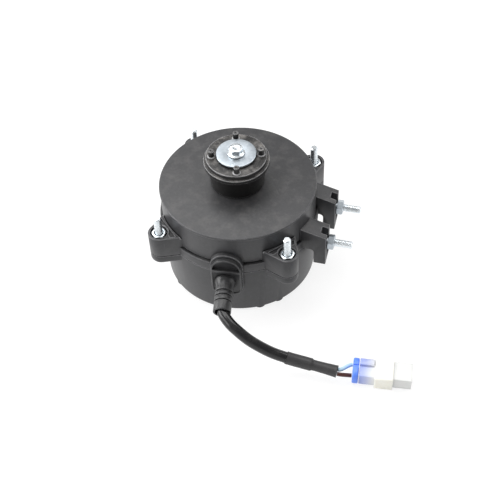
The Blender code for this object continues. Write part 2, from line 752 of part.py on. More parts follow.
def build_rear_housing():
    """The lower shell: tapered wall, lugs, bearing seat, recesses below and small feet."""
    body = turned("rear_housing_body", rear_shell_profile())
    join(body, turned("rear_bearing_seat", rear_seat_profile(), MIDDLE_STEPS, ring=True))
    for name, angle in zip(CORNER_NAMES, CORNER_ANGLES):
        lug = prism(f"rear_lug_{name}", [lug_outline(WALL_RADIUS - 0.001)], LUG_BOTTOM, REAR_TOP, spin(angle))
        bevel(lug, 0.0012, 1, lambda middle: middle.z < 0.0 and middle.x > WALL_RADIUS)
        join(body, lug)
    join(body, boss_half(False))
    for index, angle in enumerate((*CORNER_ANGLES, EXTRA_FOOT_ANGLE)):
        at = spin(angle) @ Matrix.Translation((BASE_RADIUS + FOOT_OVERHANG - FOOT_RADIUS, 0.0, 0.0))
        join(body, rod(f"foot_{index}", FOOT_RADIUS, 0.0, FOOT_HEIGHT, SMALL_STEPS, at))
    groove_floor = REAR_TOP - GASKET_GROOVE_DEPTH
    cut(body, tube("gasket_groove", GASKET_GROOVE_OUTER, GASKET_GROOVE_INNER, groove_floor, REAR_TOP + OVERLAP, ROUND_STEPS))
    for name, angle in zip(CORNER_NAMES, CORNER_ANGLES):
        at = spin(angle) @ Matrix.Translation((BOLT_CIRCLE_RADIUS, 0.0, 0.0))
        seat_top = LUG_BOTTOM + HEAD_THICKNESS + GAP
        cut(body, stepped_hole(f"head_seat_{name}", LUG_BOTTOM - OVERLAP, seat_top, REAR_TOP + OVERLAP, at))
    for index in range(2):
        end = BASE_RADIUS - RECESS_INSET - index * RECESS_PITCH
        reach = BASE_RADIUS - RECESS_SIDE_INSET
        for side in (0.0, math.pi):
            recess = block(
                f"base_recess_{index}_{side:.0f}",
                (end - RECESS_WIDTH, -reach, -OVERLAP),
                (end, reach, RECESS_DEPTH),
                spin(side),
            )
            cut(body, recess)
    cut(body, grommet_opening())
    return piece("rear_housing", body, HOUSING_PLASTIC)


def build_gasket():
    """The thin seal in the groove at the seam, left open where the grommet sits."""
    inner = GASKET_GROOVE_INNER + GAP
    outer = GASKET_GROOVE_OUTER - GAP
    bottom = REAR_TOP - GASKET_GROOVE_DEPTH + GAP
    ring = tube("gasket_ring", outer, inner, bottom, REAR_TOP - 0.0001, ROUND_STEPS)
    frame = outwards(GROMMET_ANGLE, 0.0, GROMMET_HEIGHT)
    room = rod("gasket_room", PLUG_RADIUS + 2 * GAP, INNER_RADIUS - 0.005, BOSS_FACE, 24, frame)
    return piece("housing_gasket", cut(ring, room), RUBBER)


def hex_nut(name, at):
    """A nut standing on the local origin, with chamfered rims and a clear bore."""
    body = hexagon(name, NUT_ACROSS_FLATS, 0.0, NUT_THICKNESS, at)
    middle = NUT_THICKNESS / 2
    bevel(body, HEX_CHAMFER, 1, lambda point: abs(point.z - middle) > middle / 2)
    bore = rod(f"{name}_bore", BOLT_HOLE_RADIUS, -OVERLAP, NUT_THICKNESS + OVERLAP, SMALL_STEPS, at)
    return cut(body, bore)


def hex_bolt(name, length, at):
    """A hexagon-head bolt: the head's underside lies at the local origin and the shank points up."""
    tip = 0.0004
    shank = turned(
        name,
        [
            (0.0, length),
            (BOLT_RADIUS - tip, length),
            (BOLT_RADIUS, length - tip),
            (BOLT_RADIUS, -OVERLAP),
            (0.0, -OVERLAP),
        ],
        SMALL_STEPS,
        matrix=at,
    )
    head = hexagon(f"{name}_head", NUT_ACROSS_FLATS, -HEAD_THICKNESS, 0.0, at)
    bevel(head, HEX_CHAMFER, 1, lambda point: point.z < -HEAD_THICKNESS * 0.75)
    return join(shank, head)


def build_through_bolts():
    """Four long bolts from below with their nuts in the front lugs' pockets."""
    bolt_base = LUG_BOTTOM + HEAD_THICKNESS
    bolt = nut = None
    for name, angle in zip(CORNER_NAMES, CORNER_ANGLES):
        at = spin(angle) @ Matrix.Translation((BOLT_CIRCLE_RADIUS, 0.0, bolt_base))
        nut_at = spin(angle) @ Matrix.Translation((BOLT_CIRCLE_RADIUS, 0.0, NUT_BOTTOM))
        if bolt is None:
            bolt = piece(f"through_bolt_{name}", hex_bolt("through_bolt", BOLT_TOP - bolt_base, at), ZINC)
            nut = piece(f"through_nut_{name}", hex_nut("through_nut", nut_at), ZINC)
        else:
            copy_of(f"through_bolt_{name}", bolt, at)
            copy_of(f"through_nut_{name}", nut, nut_at)
    return nut


def build_bracket_bolts(nut):
    """Two bolts held in the claws, pointing along +X, each with a nut on the outer face."""
    head_seat = CLAW_FACE - CLAW_SLOT_DEPTH - GAP
    along = Matrix.Rotation(math.pi / 2, 4, "Y")
    bolt = None
    for side, offset in CLAW_SIDES:
        at = Matrix.Translation((head_seat, offset, BRACKET_BOLT_HEIGHT)) @ along
        nut_at = Matrix.Translation((CLAW_FACE + GAP, offset, BRACKET_BOLT_HEIGHT)) @ along
        if bolt is None:
            bolt = piece(f"bracket_bolt_{side}", hex_bolt("bracket_bolt", BRACKET_BOLT_END - head_seat, at), ZINC)
        else:
            copy_of(f"bracket_bolt_{side}", bolt, at)
        copy_of(f"bracket_nut_{side}", nut, nut_at)


def hub_profile():
    """Section of the blade hub: stepped top, rim and tapering skirt."""
    under_top = HUB_TOP - HUB_TOP_THICKNESS
    return [
        (BLADE_SCREW_RADIUS + GAP, HUB_TOP),
        (HUB_TOP_RADIUS - 0.0004, HUB_TOP),
        (HUB_TOP_RADIUS, HUB_TOP - 0.0004),
        (HUB_TOP_RADIUS, HUB_RIM_TOP),
        (HUB_RIM_RADIUS, HUB_RIM_TOP),
        (HUB_RIM_RADIUS, HUB_RIM_TOP - 0.0023),
        (HUB_FOOT_RADIUS, HUB_FOOT),
        (HUB_FOOT_RADIUS - HUB_WALL, HUB_FOOT),
        (HUB_FOOT_RADIUS - HUB_WALL, under_top),
        (BLADE_SCREW_RADIUS + GAP, under_top),
    ]


def build_hub(rotor):
    """The moulded hub with its four nipples on top, a bored middle boss and ribs inside."""
    body = turned("hub_body", hub_profile(), 32, ring=True)
    boss_profile = [
        (HUB_BORE, HUB_TOP - HUB_TOP_THICKNESS + OVERLAP),
        (SHAFT_RADIUS + 0.004, HUB_TOP - HUB_TOP_THICKNESS + OVERLAP),
        (SHAFT_RADIUS + 0.004, COLLAR_TOP + 0.0009),
        (HUB_BORE, COLLAR_TOP + 0.0009),
    ]
    boss = turned("hub_boss", boss_profile, SMALL_STEPS, ring=True)
    for index in range(4):
        angle = NIPPLE_TURN + index * QUARTER
        at = spin(angle) @ Matrix.Translation((NIPPLE_CIRCLE_RADIUS, 0.0, 0.0))
        nipple = turned(
            f"nipple_{index}",
            [
                (0.0, NIPPLE_TOP),
                (NIPPLE_RADIUS - 0.0005, NIPPLE_TOP),
                (NIPPLE_RADIUS, NIPPLE_TOP - 0.0006),
                (NIPPLE_RADIUS, HUB_TOP - OVERLAP),
                (0.0, HUB_TOP - OVERLAP),
            ],
            TINY_STEPS,
            matrix=at,
        )
        join(body, nipple)
        rib = block(
            f"hub_rib_{index}",
            (SHAFT_RADIUS + 0.002, -0.0006, COLLAR_TOP + 0.003),
            (HUB_FOOT_RADIUS - HUB_WALL / 2, 0.0006, HUB_TOP - 0.0045),
            spin(angle),
        )
        join(body, rib)
    join(body, boss)
    socket = rod("hub_socket", HUB_BORE, COLLAR_TOP, SHAFT_TOP + GAP, SMALL_STEPS)
    cut(body, socket)
    return piece("blade_hub", body, HUB_PLASTIC, rotor)


def build_blade_fixing(rotor):
    """The zinc washer and the hexagon screw that clamp a fan blade on the hub."""
    washer_bottom = HUB_TOP + GAP
    washer_top = washer_bottom + WASHER_THICKNESS
    washer = tube("blade_washer_ring", WASHER_RADIUS, BLADE_SCREW_RADIUS + GAP, washer_bottom, washer_top, MIDDLE_STEPS)
    piece("blade_washer", washer, ZINC, rotor)
    seat = washer_top + GAP
    flange = 0.0008
    stud = turned(
        "blade_screw_body",
        [
            (0.0, seat + flange),
            (BLADE_SCREW_FLANGE_RADIUS - 0.0003, seat + flange),
            (BLADE_SCREW_FLANGE_RADIUS, seat + 0.0003),
            (BLADE_SCREW_FLANGE_RADIUS, seat),
            (BLADE_SCREW_RADIUS, seat),
            (BLADE_SCREW_RADIUS, COLLAR_TOP + 0.0016),
            (0.0, COLLAR_TOP + 0.0012),
        ],
        SMALL_STEPS,
    )
    head = hexagon("blade_screw_head", BLADE_SCREW_ACROSS_FLATS, seat + flange / 2, BLADE_SCREW_TOP, spin(math.radians(12)))
    bevel(head, 0.00025, 1, lambda middle: middle.z > seat + flange)
    return piece("blade_screw", join(stud, head), ZINC, rotor)


def build_shaft(rotor):
    """The stepped steel shaft, tapped at the top for the blade screw."""
    thread_bottom = COLLAR_TOP + 0.0006
    seat_floor = REAR_BEARING_BOTTOM - 2 * GAP - REAR_WASHER_THICKNESS
    clip_low = FRONT_BEARING_TOP + GAP
    clip_high = clip_low + 0.0008 + GAP
    body = turned(
        "shaft_body",
        [
            (0.0, thread_bottom),
            (BLADE_SCREW_RADIUS + GAP, thread_bottom),
            (BLADE_SCREW_RADIUS + GAP, SHAFT_TOP),
            (SHAFT_RADIUS, SHAFT_TOP),
            (SHAFT_RADIUS, clip_high),
            (SHAFT_RADIUS - 0.0006, clip_high),
            (SHAFT_RADIUS - 0.0006, clip_low),
            (SHAFT_RADIUS, clip_low),
            (SHAFT_RADIUS, FRONT_BEARING_BOTTOM - GAP),
            (SHAFT_COLLAR_RADIUS, FRONT_BEARING_BOTTOM - GAP),
            (SHAFT_COLLAR_RADIUS, REAR_BEARING_TOP + GAP),
            (SHAFT_RADIUS, REAR_BEARING_TOP + GAP),
            (SHAFT_RADIUS, seat_floor - 0.0004),
            (0.0, seat_floor - 0.0004),
        ],
        SMALL_STEPS,
    )
    piece("shaft", body, STEEL, rotor)
    clip = tube("circlip_ring", SHAFT_RADIUS + 0.0013, SHAFT_RADIUS - GAP, clip_low + GAP / 2, clip_high - GAP / 2, SMALL_STEPS)
    opening = block("circlip_opening", (0.0, -0.0012, clip_low - GAP), (0.01, 0.0012, clip_high + GAP))
    return piece("shaft_circlip", cut(clip, opening), STEEL, rotor)


def build_bearing(name, bottom, rotor):
    """A ball bearing as an outer ring with shields, a ball ring and an inner ring."""
    top = bottom + BEARING_WIDTH
    bore = SHAFT_RADIUS + GAP
    inner = SHAFT_RADIUS + 0.0021
    raceway = BEARING_RADIUS - 0.0016
    shield = 0.0005
    outer = turned(
        f"{name}_outer",
        [
            (inner + GAP, top),
            (BEARING_RADIUS, top),
            (BEARING_RADIUS, bottom),
            (raceway, bottom),
            (raceway, top - shield),
            (inner + GAP, top - shield),
        ],
        MIDDLE_STEPS,
        ring=True,
    )
    piece(f"{name}_outer_ring", outer, STEEL)
    inner_ring = tube(f"{name}_inner", inner, bore, bottom, top, SMALL_STEPS)
    piece(f"{name}_inner_ring", inner_ring, STEEL, rotor)
    middle = (top + bottom) / 2
    ball_radius = (raceway - inner) / 2 - GAP
    centre = (raceway + inner) / 2
    section = arc((centre, middle), ball_radius, math.pi, -math.pi, 7)[:-1]
    balls = turned(f"{name}_balls", section, SMALL_STEPS, ring=True)
    return piece(f"{name}_ball_ring", balls, STEEL)


def build_seals():
    """The spring washer below the rear bearing and the rubber seal in the front collar."""
    low = REAR_BEARING_BOTTOM - GAP - REAR_WASHER_THICKNESS
    washer = tube("preload_washer_ring", BEARING_RADIUS - 0.0002, BEARING_RADIUS - 0.0031, low, low + REAR_WASHER_THICKNESS, SMALL_STEPS + 4)
    piece("bearing_spring_washer", washer, STEEL)
    bottom = FRONT_BEARING_TOP + GAP + 0.0014
    top = COLLAR_TOP - GAP
    lip = SHAFT_RADIUS + GAP
    rim = SHOULDER_RADIUS - GAP
    seal = turned(
        "shaft_seal_ring",
        [
            (rim - 0.0012, top),
            (rim, top),
            (rim, bottom),
            (lip, bottom),
            (lip, bottom + 0.001),
            (rim - 0.0012, bottom + 0.0012),
        ],
        SMALL_STEPS,
        ring=True,
    )
    return piece("shaft_seal", seal, RUBBER)


def stator_inner_outline():
    """The inside of the lamination stack: slots between the teeth and the shoes at the bore."""
    points = []
    slot_radius = STATOR_RADIUS - STATOR_YOKE
    shoe_outer = STATOR_BORE + SHOE_THICKNESS
    pitch = 2 * math.pi / TEETH
    half_tooth = TOOTH_WIDTH / 2
    for index in range(TEETH):
        middle = index * pitch
        half_shoe = (pitch - SHOE_OPENING) / 2
        root = math.asin(half_tooth / slot_radius)
        neck = math.asin(half_tooth / shoe_outer)
        points += arc((0.0, 0.0), STATOR_BORE, middle - half_shoe, middle + half_shoe, 6)
        points += arc((0.0, 0.0), shoe_outer, middle + half_shoe, middle + neck, 2)
        points += arc((0.0, 0.0), slot_radius, middle + root, middle + pitch - root, 6)
        points += arc((0.0, 0.0), shoe_outer, middle + pitch - neck, middle + pitch - half_shoe, 2)
    return points


def circle(radius, count):
    """A closed circle of points."""
    return [
        (radius * math.cos(2 * math.pi * i / count), radius * math.sin(2 * math.pi * i / count))
        for i in range(count)
    ]


def build_stator():
    """The lamination stack, an insulator plate on each side and one coil on each tooth."""
    stack = prism("stator_stack", [circle(STATOR_RADIUS, ROUND_STEPS), stator_inner_outline()], STATOR_BOTTOM, STATOR_TOP)
    piece("stator_core", stack, LAMINATION)
    plate = 0.0008
    plate_outer = STATOR_RADIUS - 0.0042
    plate_inner = plate_outer - 0.0015
    finger_inner = STATOR_BORE + SHOE_THICKNESS + 0.0006
    for name, low in (
        ("upper", STATOR_TOP + GAP),
        ("lower", STATOR_BOTTOM - GAP - plate),
    ):
        ring = tube(f"insulator_{name}", plate_outer, plate_inner, low, low + plate, MIDDLE_STEPS)
        for index in range(TEETH):
            finger = block(
                f"insulator_finger_{name}_{index}",
                (finger_inner, -TOOTH_WIDTH / 2, low),
                (plate_inner + 0.0006, TOOTH_WIDTH / 2, low + plate),
                spin(index * 2 * math.pi / TEETH),
            )
            join(ring, finger)
        piece(f"stator_insulator_{name}", ring, INSULATOR)
    inner_width = TOOTH_WIDTH + 2 * GAP
    inner_height = STATOR_HEIGHT + 2 * (plate + 2 * GAP)
    outer_width = inner_width + 2 * COIL_THICKNESS
    outer_height = inner_height + 2 * COIL_THICKNESS
    outlines = [
        rounded_rectangle(outer_width, outer_height, 0.0026, 3),
        rounded_rectangle(inner_width, inner_height, 0.0004, 2),
    ]
    start = finger_inner + 0.0008
    room = plate_inner * math.cos(math.pi / MIDDLE_STEPS) - GAP
    end = math.sqrt(room**2 - (outer_width / 2) ** 2)
    coil = None
    for index in range(TEETH):
        at = outwards(index * 2 * math.pi / TEETH, 0.0, STATOR_MIDDLE)
        if coil is None:
            body = prism("coil_body", outlines, start, end, at)
            coil = piece("stator_coil_1", body, COPPER)
            rest = Matrix.Rotation(0.0, 4, "Z")
            first = coil.matrix_world.copy()
        else:
            rest = spin(index * 2 * math.pi / TEETH)
            copy_of(f"stator_coil_{index + 1}", coil, rest @ first)


def build_rotor_core(rotor):
    """The steel core on the shaft and the magnet ring round it."""
    overhang = 0.0005
    magnet_inner = MAGNET_RADIUS - MAGNET_THICKNESS
    core = tube("rotor_core_ring", magnet_inner - GAP, SHAFT_COLLAR_RADIUS + GAP, STATOR_BOTTOM + 0.0006, STATOR_TOP, MIDDLE_STEPS)
    piece("rotor_core", core, LAMINATION, rotor)
    magnet = tube("magnet_ring", MAGNET_RADIUS, magnet_inner, STATOR_BOTTOM - overhang + 0.0006, STATOR_TOP + overhang, MIDDLE_STEPS)
    return piece("rotor_magnet_ring", magnet, MAGNET, rotor)


def build_board():
    """The round circuit board under the front face, its screws and its parts."""
    body = tube("board_disc", BOARD_RADIUS, BOARD_HOLE_RADIUS, BOARD_BOTTOM, BOARD_TOP, 32)
    head_top = BOARD_BOTTOM - GAP
    screw = None
    for index in range(3):
        angle = QUARTER + index * 2 * math.pi / 3
        at = spin(angle) @ Matrix.Translation((BOARD_POST_CIRCLE, 0.0, 0.0))
        hole_radius = BOARD_SCREW_RADIUS + GAP
        cut(body, rod(f"board_hole_{index}", hole_radius, BOARD_BOTTOM - OVERLAP, BOARD_TOP + OVERLAP, TINY_STEPS, at))
        if screw is None:
            profile = [
                (0.0, BOARD_TOP + BOARD_SCREW_REACH),
                (BOARD_SCREW_RADIUS, BOARD_TOP + BOARD_SCREW_REACH - BOARD_SCREW_RADIUS / 2),
                (BOARD_SCREW_RADIUS, head_top),
                (BOARD_SCREW_HEAD_RADIUS, head_top),
                (BOARD_SCREW_HEAD_RADIUS, head_top - BOARD_SCREW_RADIUS),
                (0.0, head_top - 1.4 * BOARD_SCREW_RADIUS),
            ]
            screw = piece("board_screw_1", turned("board_screw", profile, TINY_STEPS, matrix=at), ZINC)
        else:
            copy_of(f"board_screw_{index + 1}", screw, at)
    piece("circuit_board", body, BOARD_GREEN)
    can_base = BOARD_TOP + GAP
    can_top = CEILING - CAPACITOR_HEADROOM
    rolled_edge = CAPACITOR_RADIUS / 10
    for index, angle in enumerate((math.radians(150), math.radians(178))):
        at = spin(angle) @ Matrix.Translation((BOARD_PARTS_CIRCLE, 0.0, 0.0))
        can = turned(
            f"capacitor_can_{index}",
            [
                (0.0, can_top),
                (CAPACITOR_RADIUS - rolled_edge, can_top),
                (CAPACITOR_RADIUS, can_top - rolled_edge),
                (CAPACITOR_RADIUS, can_base),
                (0.0, can_base),
            ],
            SMALL_STEPS,
            matrix=at,
        )
        piece(f"capacitor_{index + 1}", can, CAN_SLEEVE)
    choke_at = spin(math.radians(232)) @ Matrix.Translation((BOARD_PARTS_CIRCLE, 0.0, 0.0))
    choke_top = can_base + CHOKE_HEIGHT
    choke_plate = CHOKE_HEIGHT / 5
    waist = CHOKE_RADIUS - 2 * choke_plate
    choke = turned(
        "choke_body",
        [
            (0.0, choke_top),
            (CHOKE_RADIUS, choke_top),
            (CHOKE_RADIUS, choke_top - choke_plate),
            (waist, choke_top - choke_plate - GAP),
            (waist, can_base + choke_plate + GAP),
            (CHOKE_RADIUS, can_base + choke_plate),
            (CHOKE_RADIUS, can_base),
            (0.0, can_base),
        ],
        SMALL_STEPS,
        matrix=choke_at,
    )
    piece("choke", choke, DARK_CASE)
    low = (BOARD_PARTS_CIRCLE - MODULE_WIDTH / 2, -MODULE_LENGTH / 2, can_base)
    high = (BOARD_PARTS_CIRCLE + MODULE_WIDTH / 2, MODULE_LENGTH / 2, can_base + MODULE_HEIGHT)
    module = block("power_module_case", low, high, spin(math.radians(20)))
    bevel(module, 0.0005, 1)
    piece("power_module", module, DARK_CASE)
    outer = BOARD_RADIUS - TERMINAL_INSET
    low = (outer - TERMINAL_WIDTH, -TERMINAL_LENGTH / 2, head_top - TERMINAL_HEIGHT)
    terminal = block("terminal_case", low, (outer, TERMINAL_LENGTH / 2, head_top), spin(GROMMET_ANGLE))
    bevel(terminal, 0.0004, 1)
    return piece("terminal_block", terminal, BLUE_NYLON)


def neck_frame():
    """A frame at the root of the grommet's neck, in its flange, whose local Z runs along the neck."""
    depth = BOSS_FACE + GAP + FLANGE_THICKNESS * 0.45
    root = outwards(GROMMET_ANGLE, 0.0, GROMMET_HEIGHT) @ Vector((NECK_SHIFT, -NECK_DROP, depth))
    droop = Matrix.Rotation(NECK_DROOP, 4, "X")
    return Matrix.Translation(root) @ outwards(NECK_ANGLE, 0.0, 0.0) @ droop


def build_grommet():
    """The rubber grommet: plug through the wall, dished flange with a cross rib, ringed neck."""
    frame = outwards(GROMMET_ANGLE, 0.0, GROMMET_HEIGHT)
    inner_face = BOSS_FACE + GAP
    outer_face = inner_face + FLANGE_THICKNESS
    body = prism("grommet_flange", [gland_outline()], inner_face, outer_face, frame)
    bevel(body, 0.0003, 1, lambda middle: middle.z > 0.0)
    collar_end = INNER_RADIUS - 0.001
    join(
        body,
        rod("grommet_plug", PLUG_RADIUS, collar_end - OVERLAP, inner_face + OVERLAP, SMALL_STEPS, frame),
        rod("grommet_inner_collar", PLUG_RADIUS + 0.0009, collar_end - 0.0014, collar_end, SMALL_STEPS, frame),
    )
    dish_floor = outer_face - FLANGE_DISH
    well = prism("grommet_well", [gland_outline(-FLANGE_RIM)], dish_floor, outer_face + 0.01, frame)
    reach = FLANGE_WIDTH
    keep = block("grommet_well_limit", (-reach, -2 * reach, 0.0), (reach, RIB_TOP - RIB_THICKNESS / 2, 2 * BOSS_FACE), frame)
    cut(body, cut(well, keep))
    rib = block(
        "grommet_rib",
        (FLANGE_RIM - FLANGE_WIDTH / 2, RIB_TOP - RIB_THICKNESS, inner_face + OVERLAP),
        (FLANGE_WIDTH / 2 - FLANGE_RIM, RIB_TOP, outer_face + RIB_RISE),
        frame,
    )
    bevel(rib, 0.0003, 1)
    along = neck_frame()
    profile = [(0.0, NECK_LENGTH), (NECK_RADIUS - 0.0003, NECK_LENGTH), (NECK_RADIUS, NECK_LENGTH - 0.0003)]
    for middle in reversed(NECK_RINGS):
        profile += [
            (NECK_RADIUS, middle + NECK_GROOVE),
            (NECK_RADIUS - NECK_GROOVE, middle),
            (NECK_RADIUS, middle - NECK_GROOVE),
        ]
    flare_end = NECK_RINGS[0] * 0.8
    profile += [
        (NECK_RADIUS + NECK_FLARE * 0.08, flare_end),
        (NECK_RADIUS + NECK_FLARE * 0.4, flare_end / 2),
        (NECK_RADIUS + NECK_FLARE, flare_end / 5),
        (NECK_RADIUS + NECK_FLARE, 0.0),
        (0.0, 0.0),
    ]
    neck = turned("grommet_neck", profile, SMALL_STEPS + 4, matrix=along)
    bore = rod("grommet_bore", NECK_BORE_RADIUS, NECK_LENGTH - NECK_BORE_DEPTH, NECK_LENGTH + OVERLAP, SMALL_STEPS, along)
    join(body, neck, rib)
    cut(body, bore)
    return piece("cable_grommet", body, RUBBER)


def smooth_route(points, spacing):
    """Points at about this spacing along a smooth curve through the given ones."""
    ends = [2 * points[0] - points[1], *points, 2 * points[-1] - points[-2]]
    dense = []
    for before, start, end, after in zip(ends, ends[1:], ends[2:], ends[3:]):
        for step in range(40):
            t = step / 40
            dense.append(
                0.5
                * (
                    2 * start
                    + (end - before) * t
                    + (2 * before - 5 * start + 4 * end - after) * t * t
                    + (3 * start - before - 3 * end + after) * t * t * t
                )
            )
    dense.append(points[-1])
    lengths = [0.0]
    for a, b in zip(dense, dense[1:]):
        lengths.append(lengths[-1] + (b - a).length)
    count = max(2, round(lengths[-1] / spacing))
    route = []
    index = 0
    for step in range(count + 1):
        wanted = lengths[-1] * step / count
        while index < len(lengths) - 2 and lengths[index + 1] < wanted:
            index += 1
        span = lengths[index + 1] - lengths[index]
        share = (wanted - lengths[index]) / span if span else 0.0
        route.append(dense[index].lerp(dense[index + 1], share))
    return route


def cord(name, route, radius, roundness=2, radii=None):
    """A flexible tube along the route, with flat ends."""
    curve = bpy.data.curves.new(name, "CURVE")
    curve.dimensions = "3D"
    curve.bevel_depth = radius
    curve.bevel_resolution = roundness
    curve.use_fill_caps = True
    spline = curve.splines.new("POLY")
    spline.points.add(len(route) - 1)
    for index, (point, place) in enumerate(zip(spline.points, route)):
        point.co = (*place, 1.0)
        point.radius = radii[index] if radii else 1.0
    return tool_object(name, curve)


def cable_route():
    """The cable's middle line, from the grommet's bore to the end of the shrink sleeve."""
    start = neck_frame() @ Vector((0.0001, 0.0, NECK_LENGTH - NECK_BORE_DEPTH + GAP))
    mouth = neck_frame() @ Vector((0.0005, -0.0001, NECK_LENGTH))
    bends = [
        Vector((0.0101, -0.0658, 0.0252)),
        Vector((0.0145, -0.0685, 0.0234)),
        Vector((0.0228, -0.0710, 0.0188)),
        Vector((0.0327, -0.0714, 0.0132)),
        Vector((0.0413, -0.0708, 0.0096)),
        Vector((0.0500, -0.0705, 0.0077)),
        Vector((0.0585, -0.0708, 0.0069)),
        Vector((0.0675, -0.0715, 0.0066)),
    ]
    return [start, mouth, *bends]


def split_route(route, tail):
    """Divides a fine route so that the second piece has the tail's length."""
    run = 0.0
    for index in range(len(route) - 1, 0, -1):
        run += (route[index] - route[index - 1]).length
        if run >= tail:
            return route[: index], route[index - 1 :]
    return route, route


def eased_line(start, heading, end, axis):
    """Points along an S-curve that leaves along the heading and arrives along the axis."""
    reach = (end - start).length * 0.4
    first = start + heading * reach
    last = end - axis * reach
    line = []
    for step in range(9):
        t = step / 8
        line.append(start * (1 - t) ** 3 + first * 3 * t * (1 - t) ** 2 + last * 3 * t**2 * (1 - t) + end * t**3)
    return line


def build_cable():
    """The round cable, the shrink sleeve over its end and the two wires to the plug."""
    fine = smooth_route(cable_route(), 0.0004)
    cable_line, sleeve_line = split_route(fine, SLEEVE_LENGTH)
    cable_points = smooth_route(cable_line[::4] + [cable_line[-1]], CABLE_RADIUS * 0.8)
    cable = cord("cable_line", cable_points, CABLE_RADIUS)
    piece("supply_cable", cable, CABLE_JACKET)
    heading = (sleeve_line[1] - sleeve_line[0]).normalized()
    sleeve_line[0] = cable_line[-1] + heading * GAP
    sleeve_points = smooth_route(sleeve_line[::11] + [sleeve_line[-1]], SLEEVE_RADIUS)
    run = 0.0
    radii = [1.0]
    for a, b in zip(sleeve_points, sleeve_points[1:]):
        run += (b - a).length
        radii.append(1.0 if run < SLEEVE_STEP_AT else 1.0 - SLEEVE_WALL / SLEEVE_RADIUS)
    sleeve = cord("sleeve_line", sleeve_points, SLEEVE_RADIUS, 2, radii)
    piece("shrink_sleeve", sleeve, SHRINK)
    end = sleeve_points[-1]
    heading = (sleeve_points[-1] - sleeve_points[-2]).normalized()
    frame = plug_frame()
    for name, side, surface in (("neutral_wire", 1, BLUE_WIRE), ("live_wire", -1, BROWN_WIRE)):
        entry = frame @ Vector((-GAP, side * CONTACT_SPACING / 2, 0.0))
        axis = (frame.to_3x3() @ Vector((1.0, 0.0, 0.0))).normalized()
        start = end + heading * GAP + Vector((0.0, side * (WIRE_RADIUS + GAP), 0.0))
        line = smooth_route(eased_line(start, heading, entry, axis), WIRE_RADIUS)
        wire = cord(f"{name}_line", line, WIRE_RADIUS, 2)
        piece(name, wire, surface)


def plug_frame():
    """A frame at the back face of the plug's retainer: local X along the plug, Z up."""
    middle = Vector((0.0748, -0.0675, PLUG_STAND_OFF + SHROUD_HEIGHT / 2))
    return Matrix.Translation(middle) @ spin(PLUG_TURN)


def side_on(frame):
    """Turns an outline so that it stands across the plug and is pulled along it."""
    turn = Matrix(((0.0, 0.0, 1.0), (1.0, 0.0, 0.0), (0.0, 1.0, 0.0))).to_4x4()
    return frame @ turn


def build_plug():
    """The plug: blue retainer, clear housing with a latch ridge, ivory shroud and two contacts."""
    frame = plug_frame()
    across = side_on(frame)
    retainer = prism(
        "retainer_plate", [rounded_rectangle(RETAINER_WIDTH, RETAINER_HEIGHT, 0.0016)], 0.0, RETAINER_THICKNESS, across
    )
    bevel(retainer, 0.0004, 1)
    piece("plug_retainer", retainer, BLUE_NYLON)
    start = RETAINER_THICKNESS + GAP
    end = start + PLUG_LENGTH
    housing = prism("plug_body", [rounded_rectangle(PLUG_WIDTH, PLUG_HEIGHT, 0.0008, 2)], start, end, across)
    latch = block(
        "plug_latch", (start, 0.0008, PLUG_HEIGHT / 2 - OVERLAP), (start + SHROUD_START - 2 * GAP, 0.0046, PLUG_HEIGHT / 2 + 0.0013), frame
    )
    bevel(latch, 0.0003, 1)
    join(housing, latch)
    mouth = prism(
        "plug_mouth", [rounded_rectangle(PLUG_WIDTH - 0.0022, PLUG_HEIGHT - 0.0022, 0.0004, 2)], end - 0.0088, end + OVERLAP, across
    )
    cut(housing, mouth)
    contact_start = end - 0.0115
    for side in (-1, 1):
        place = side * CONTACT_SPACING / 2
        hole = block(
            f"contact_hole_{side}",
            (contact_start - GAP, place - 0.0008, -0.0008),
            (end - 0.008, place + 0.0008, 0.0008),
            frame,
        )
        cut(housing, hole)
    piece("plug_housing", housing, CLEAR_NYLON)
    for index, side in enumerate((-1, 1)):
        place = side * CONTACT_SPACING / 2
        contact = block(
            f"contact_body_{side}",
            (contact_start, place - 0.0005, -0.0005),
            (end - 0.0015, place + 0.0005, 0.0005),
            frame,
        )
        bevel(contact, 0.0002, 1, lambda middle: middle.x > end - 0.002)
        piece(f"plug_contact_{index + 1}", contact, TIN)
    wide = PLUG_WIDTH + 2 * GAP
    high = PLUG_HEIGHT + 2 * GAP
    shroud_outline = rounded_rectangle(wide + 2 * SHROUD_WALL, SHROUD_HEIGHT, 0.001, 3)
    shroud = prism("shroud_body", [shroud_outline], start + SHROUD_START, start + SHROUD_START + SHROUD_LENGTH, across)
    bevel(shroud, 0.0003, 1)
    opening = prism(
        "shroud_opening",
        [rounded_rectangle(wide, high, 0.0008, 2)],
        start,
        end,
        across,
    )
    cut(shroud, opening)
    return piece("plug_shroud", shroud, IVORY_NYLON)


def build_inner_leads():
    """Two short leads from the grommet's inner face to the terminal block."""
    frame = outwards(GROMMET_ANGLE, 0.0, 0.0)
    face = INNER_RADIUS - 0.0024 - GAP
    target = BOARD_RADIUS - TERMINAL_INSET + GAP
    entry_height = BOARD_BOTTOM - GAP - TERMINAL_HEIGHT / 2
    for name, side, surface in (("inner_live_lead", -1, BROWN_WIRE), ("inner_neutral_lead", 1, BLUE_WIRE)):
        line = [
            frame @ Vector((side * 0.0018, GROMMET_HEIGHT, face)),
            frame @ Vector((side * 0.0022, GROMMET_HEIGHT + 0.0008, face - 0.0016)),
            frame @ Vector((side * 0.003, entry_height - 0.0008, target + 0.0016)),
            frame @ Vector((side * 0.0032, entry_height, target)),
        ]
        lead = cord(f"{name}_line", smooth_route(line, 0.0011), 0.0009, 2)
        piece(name, lead, surface)


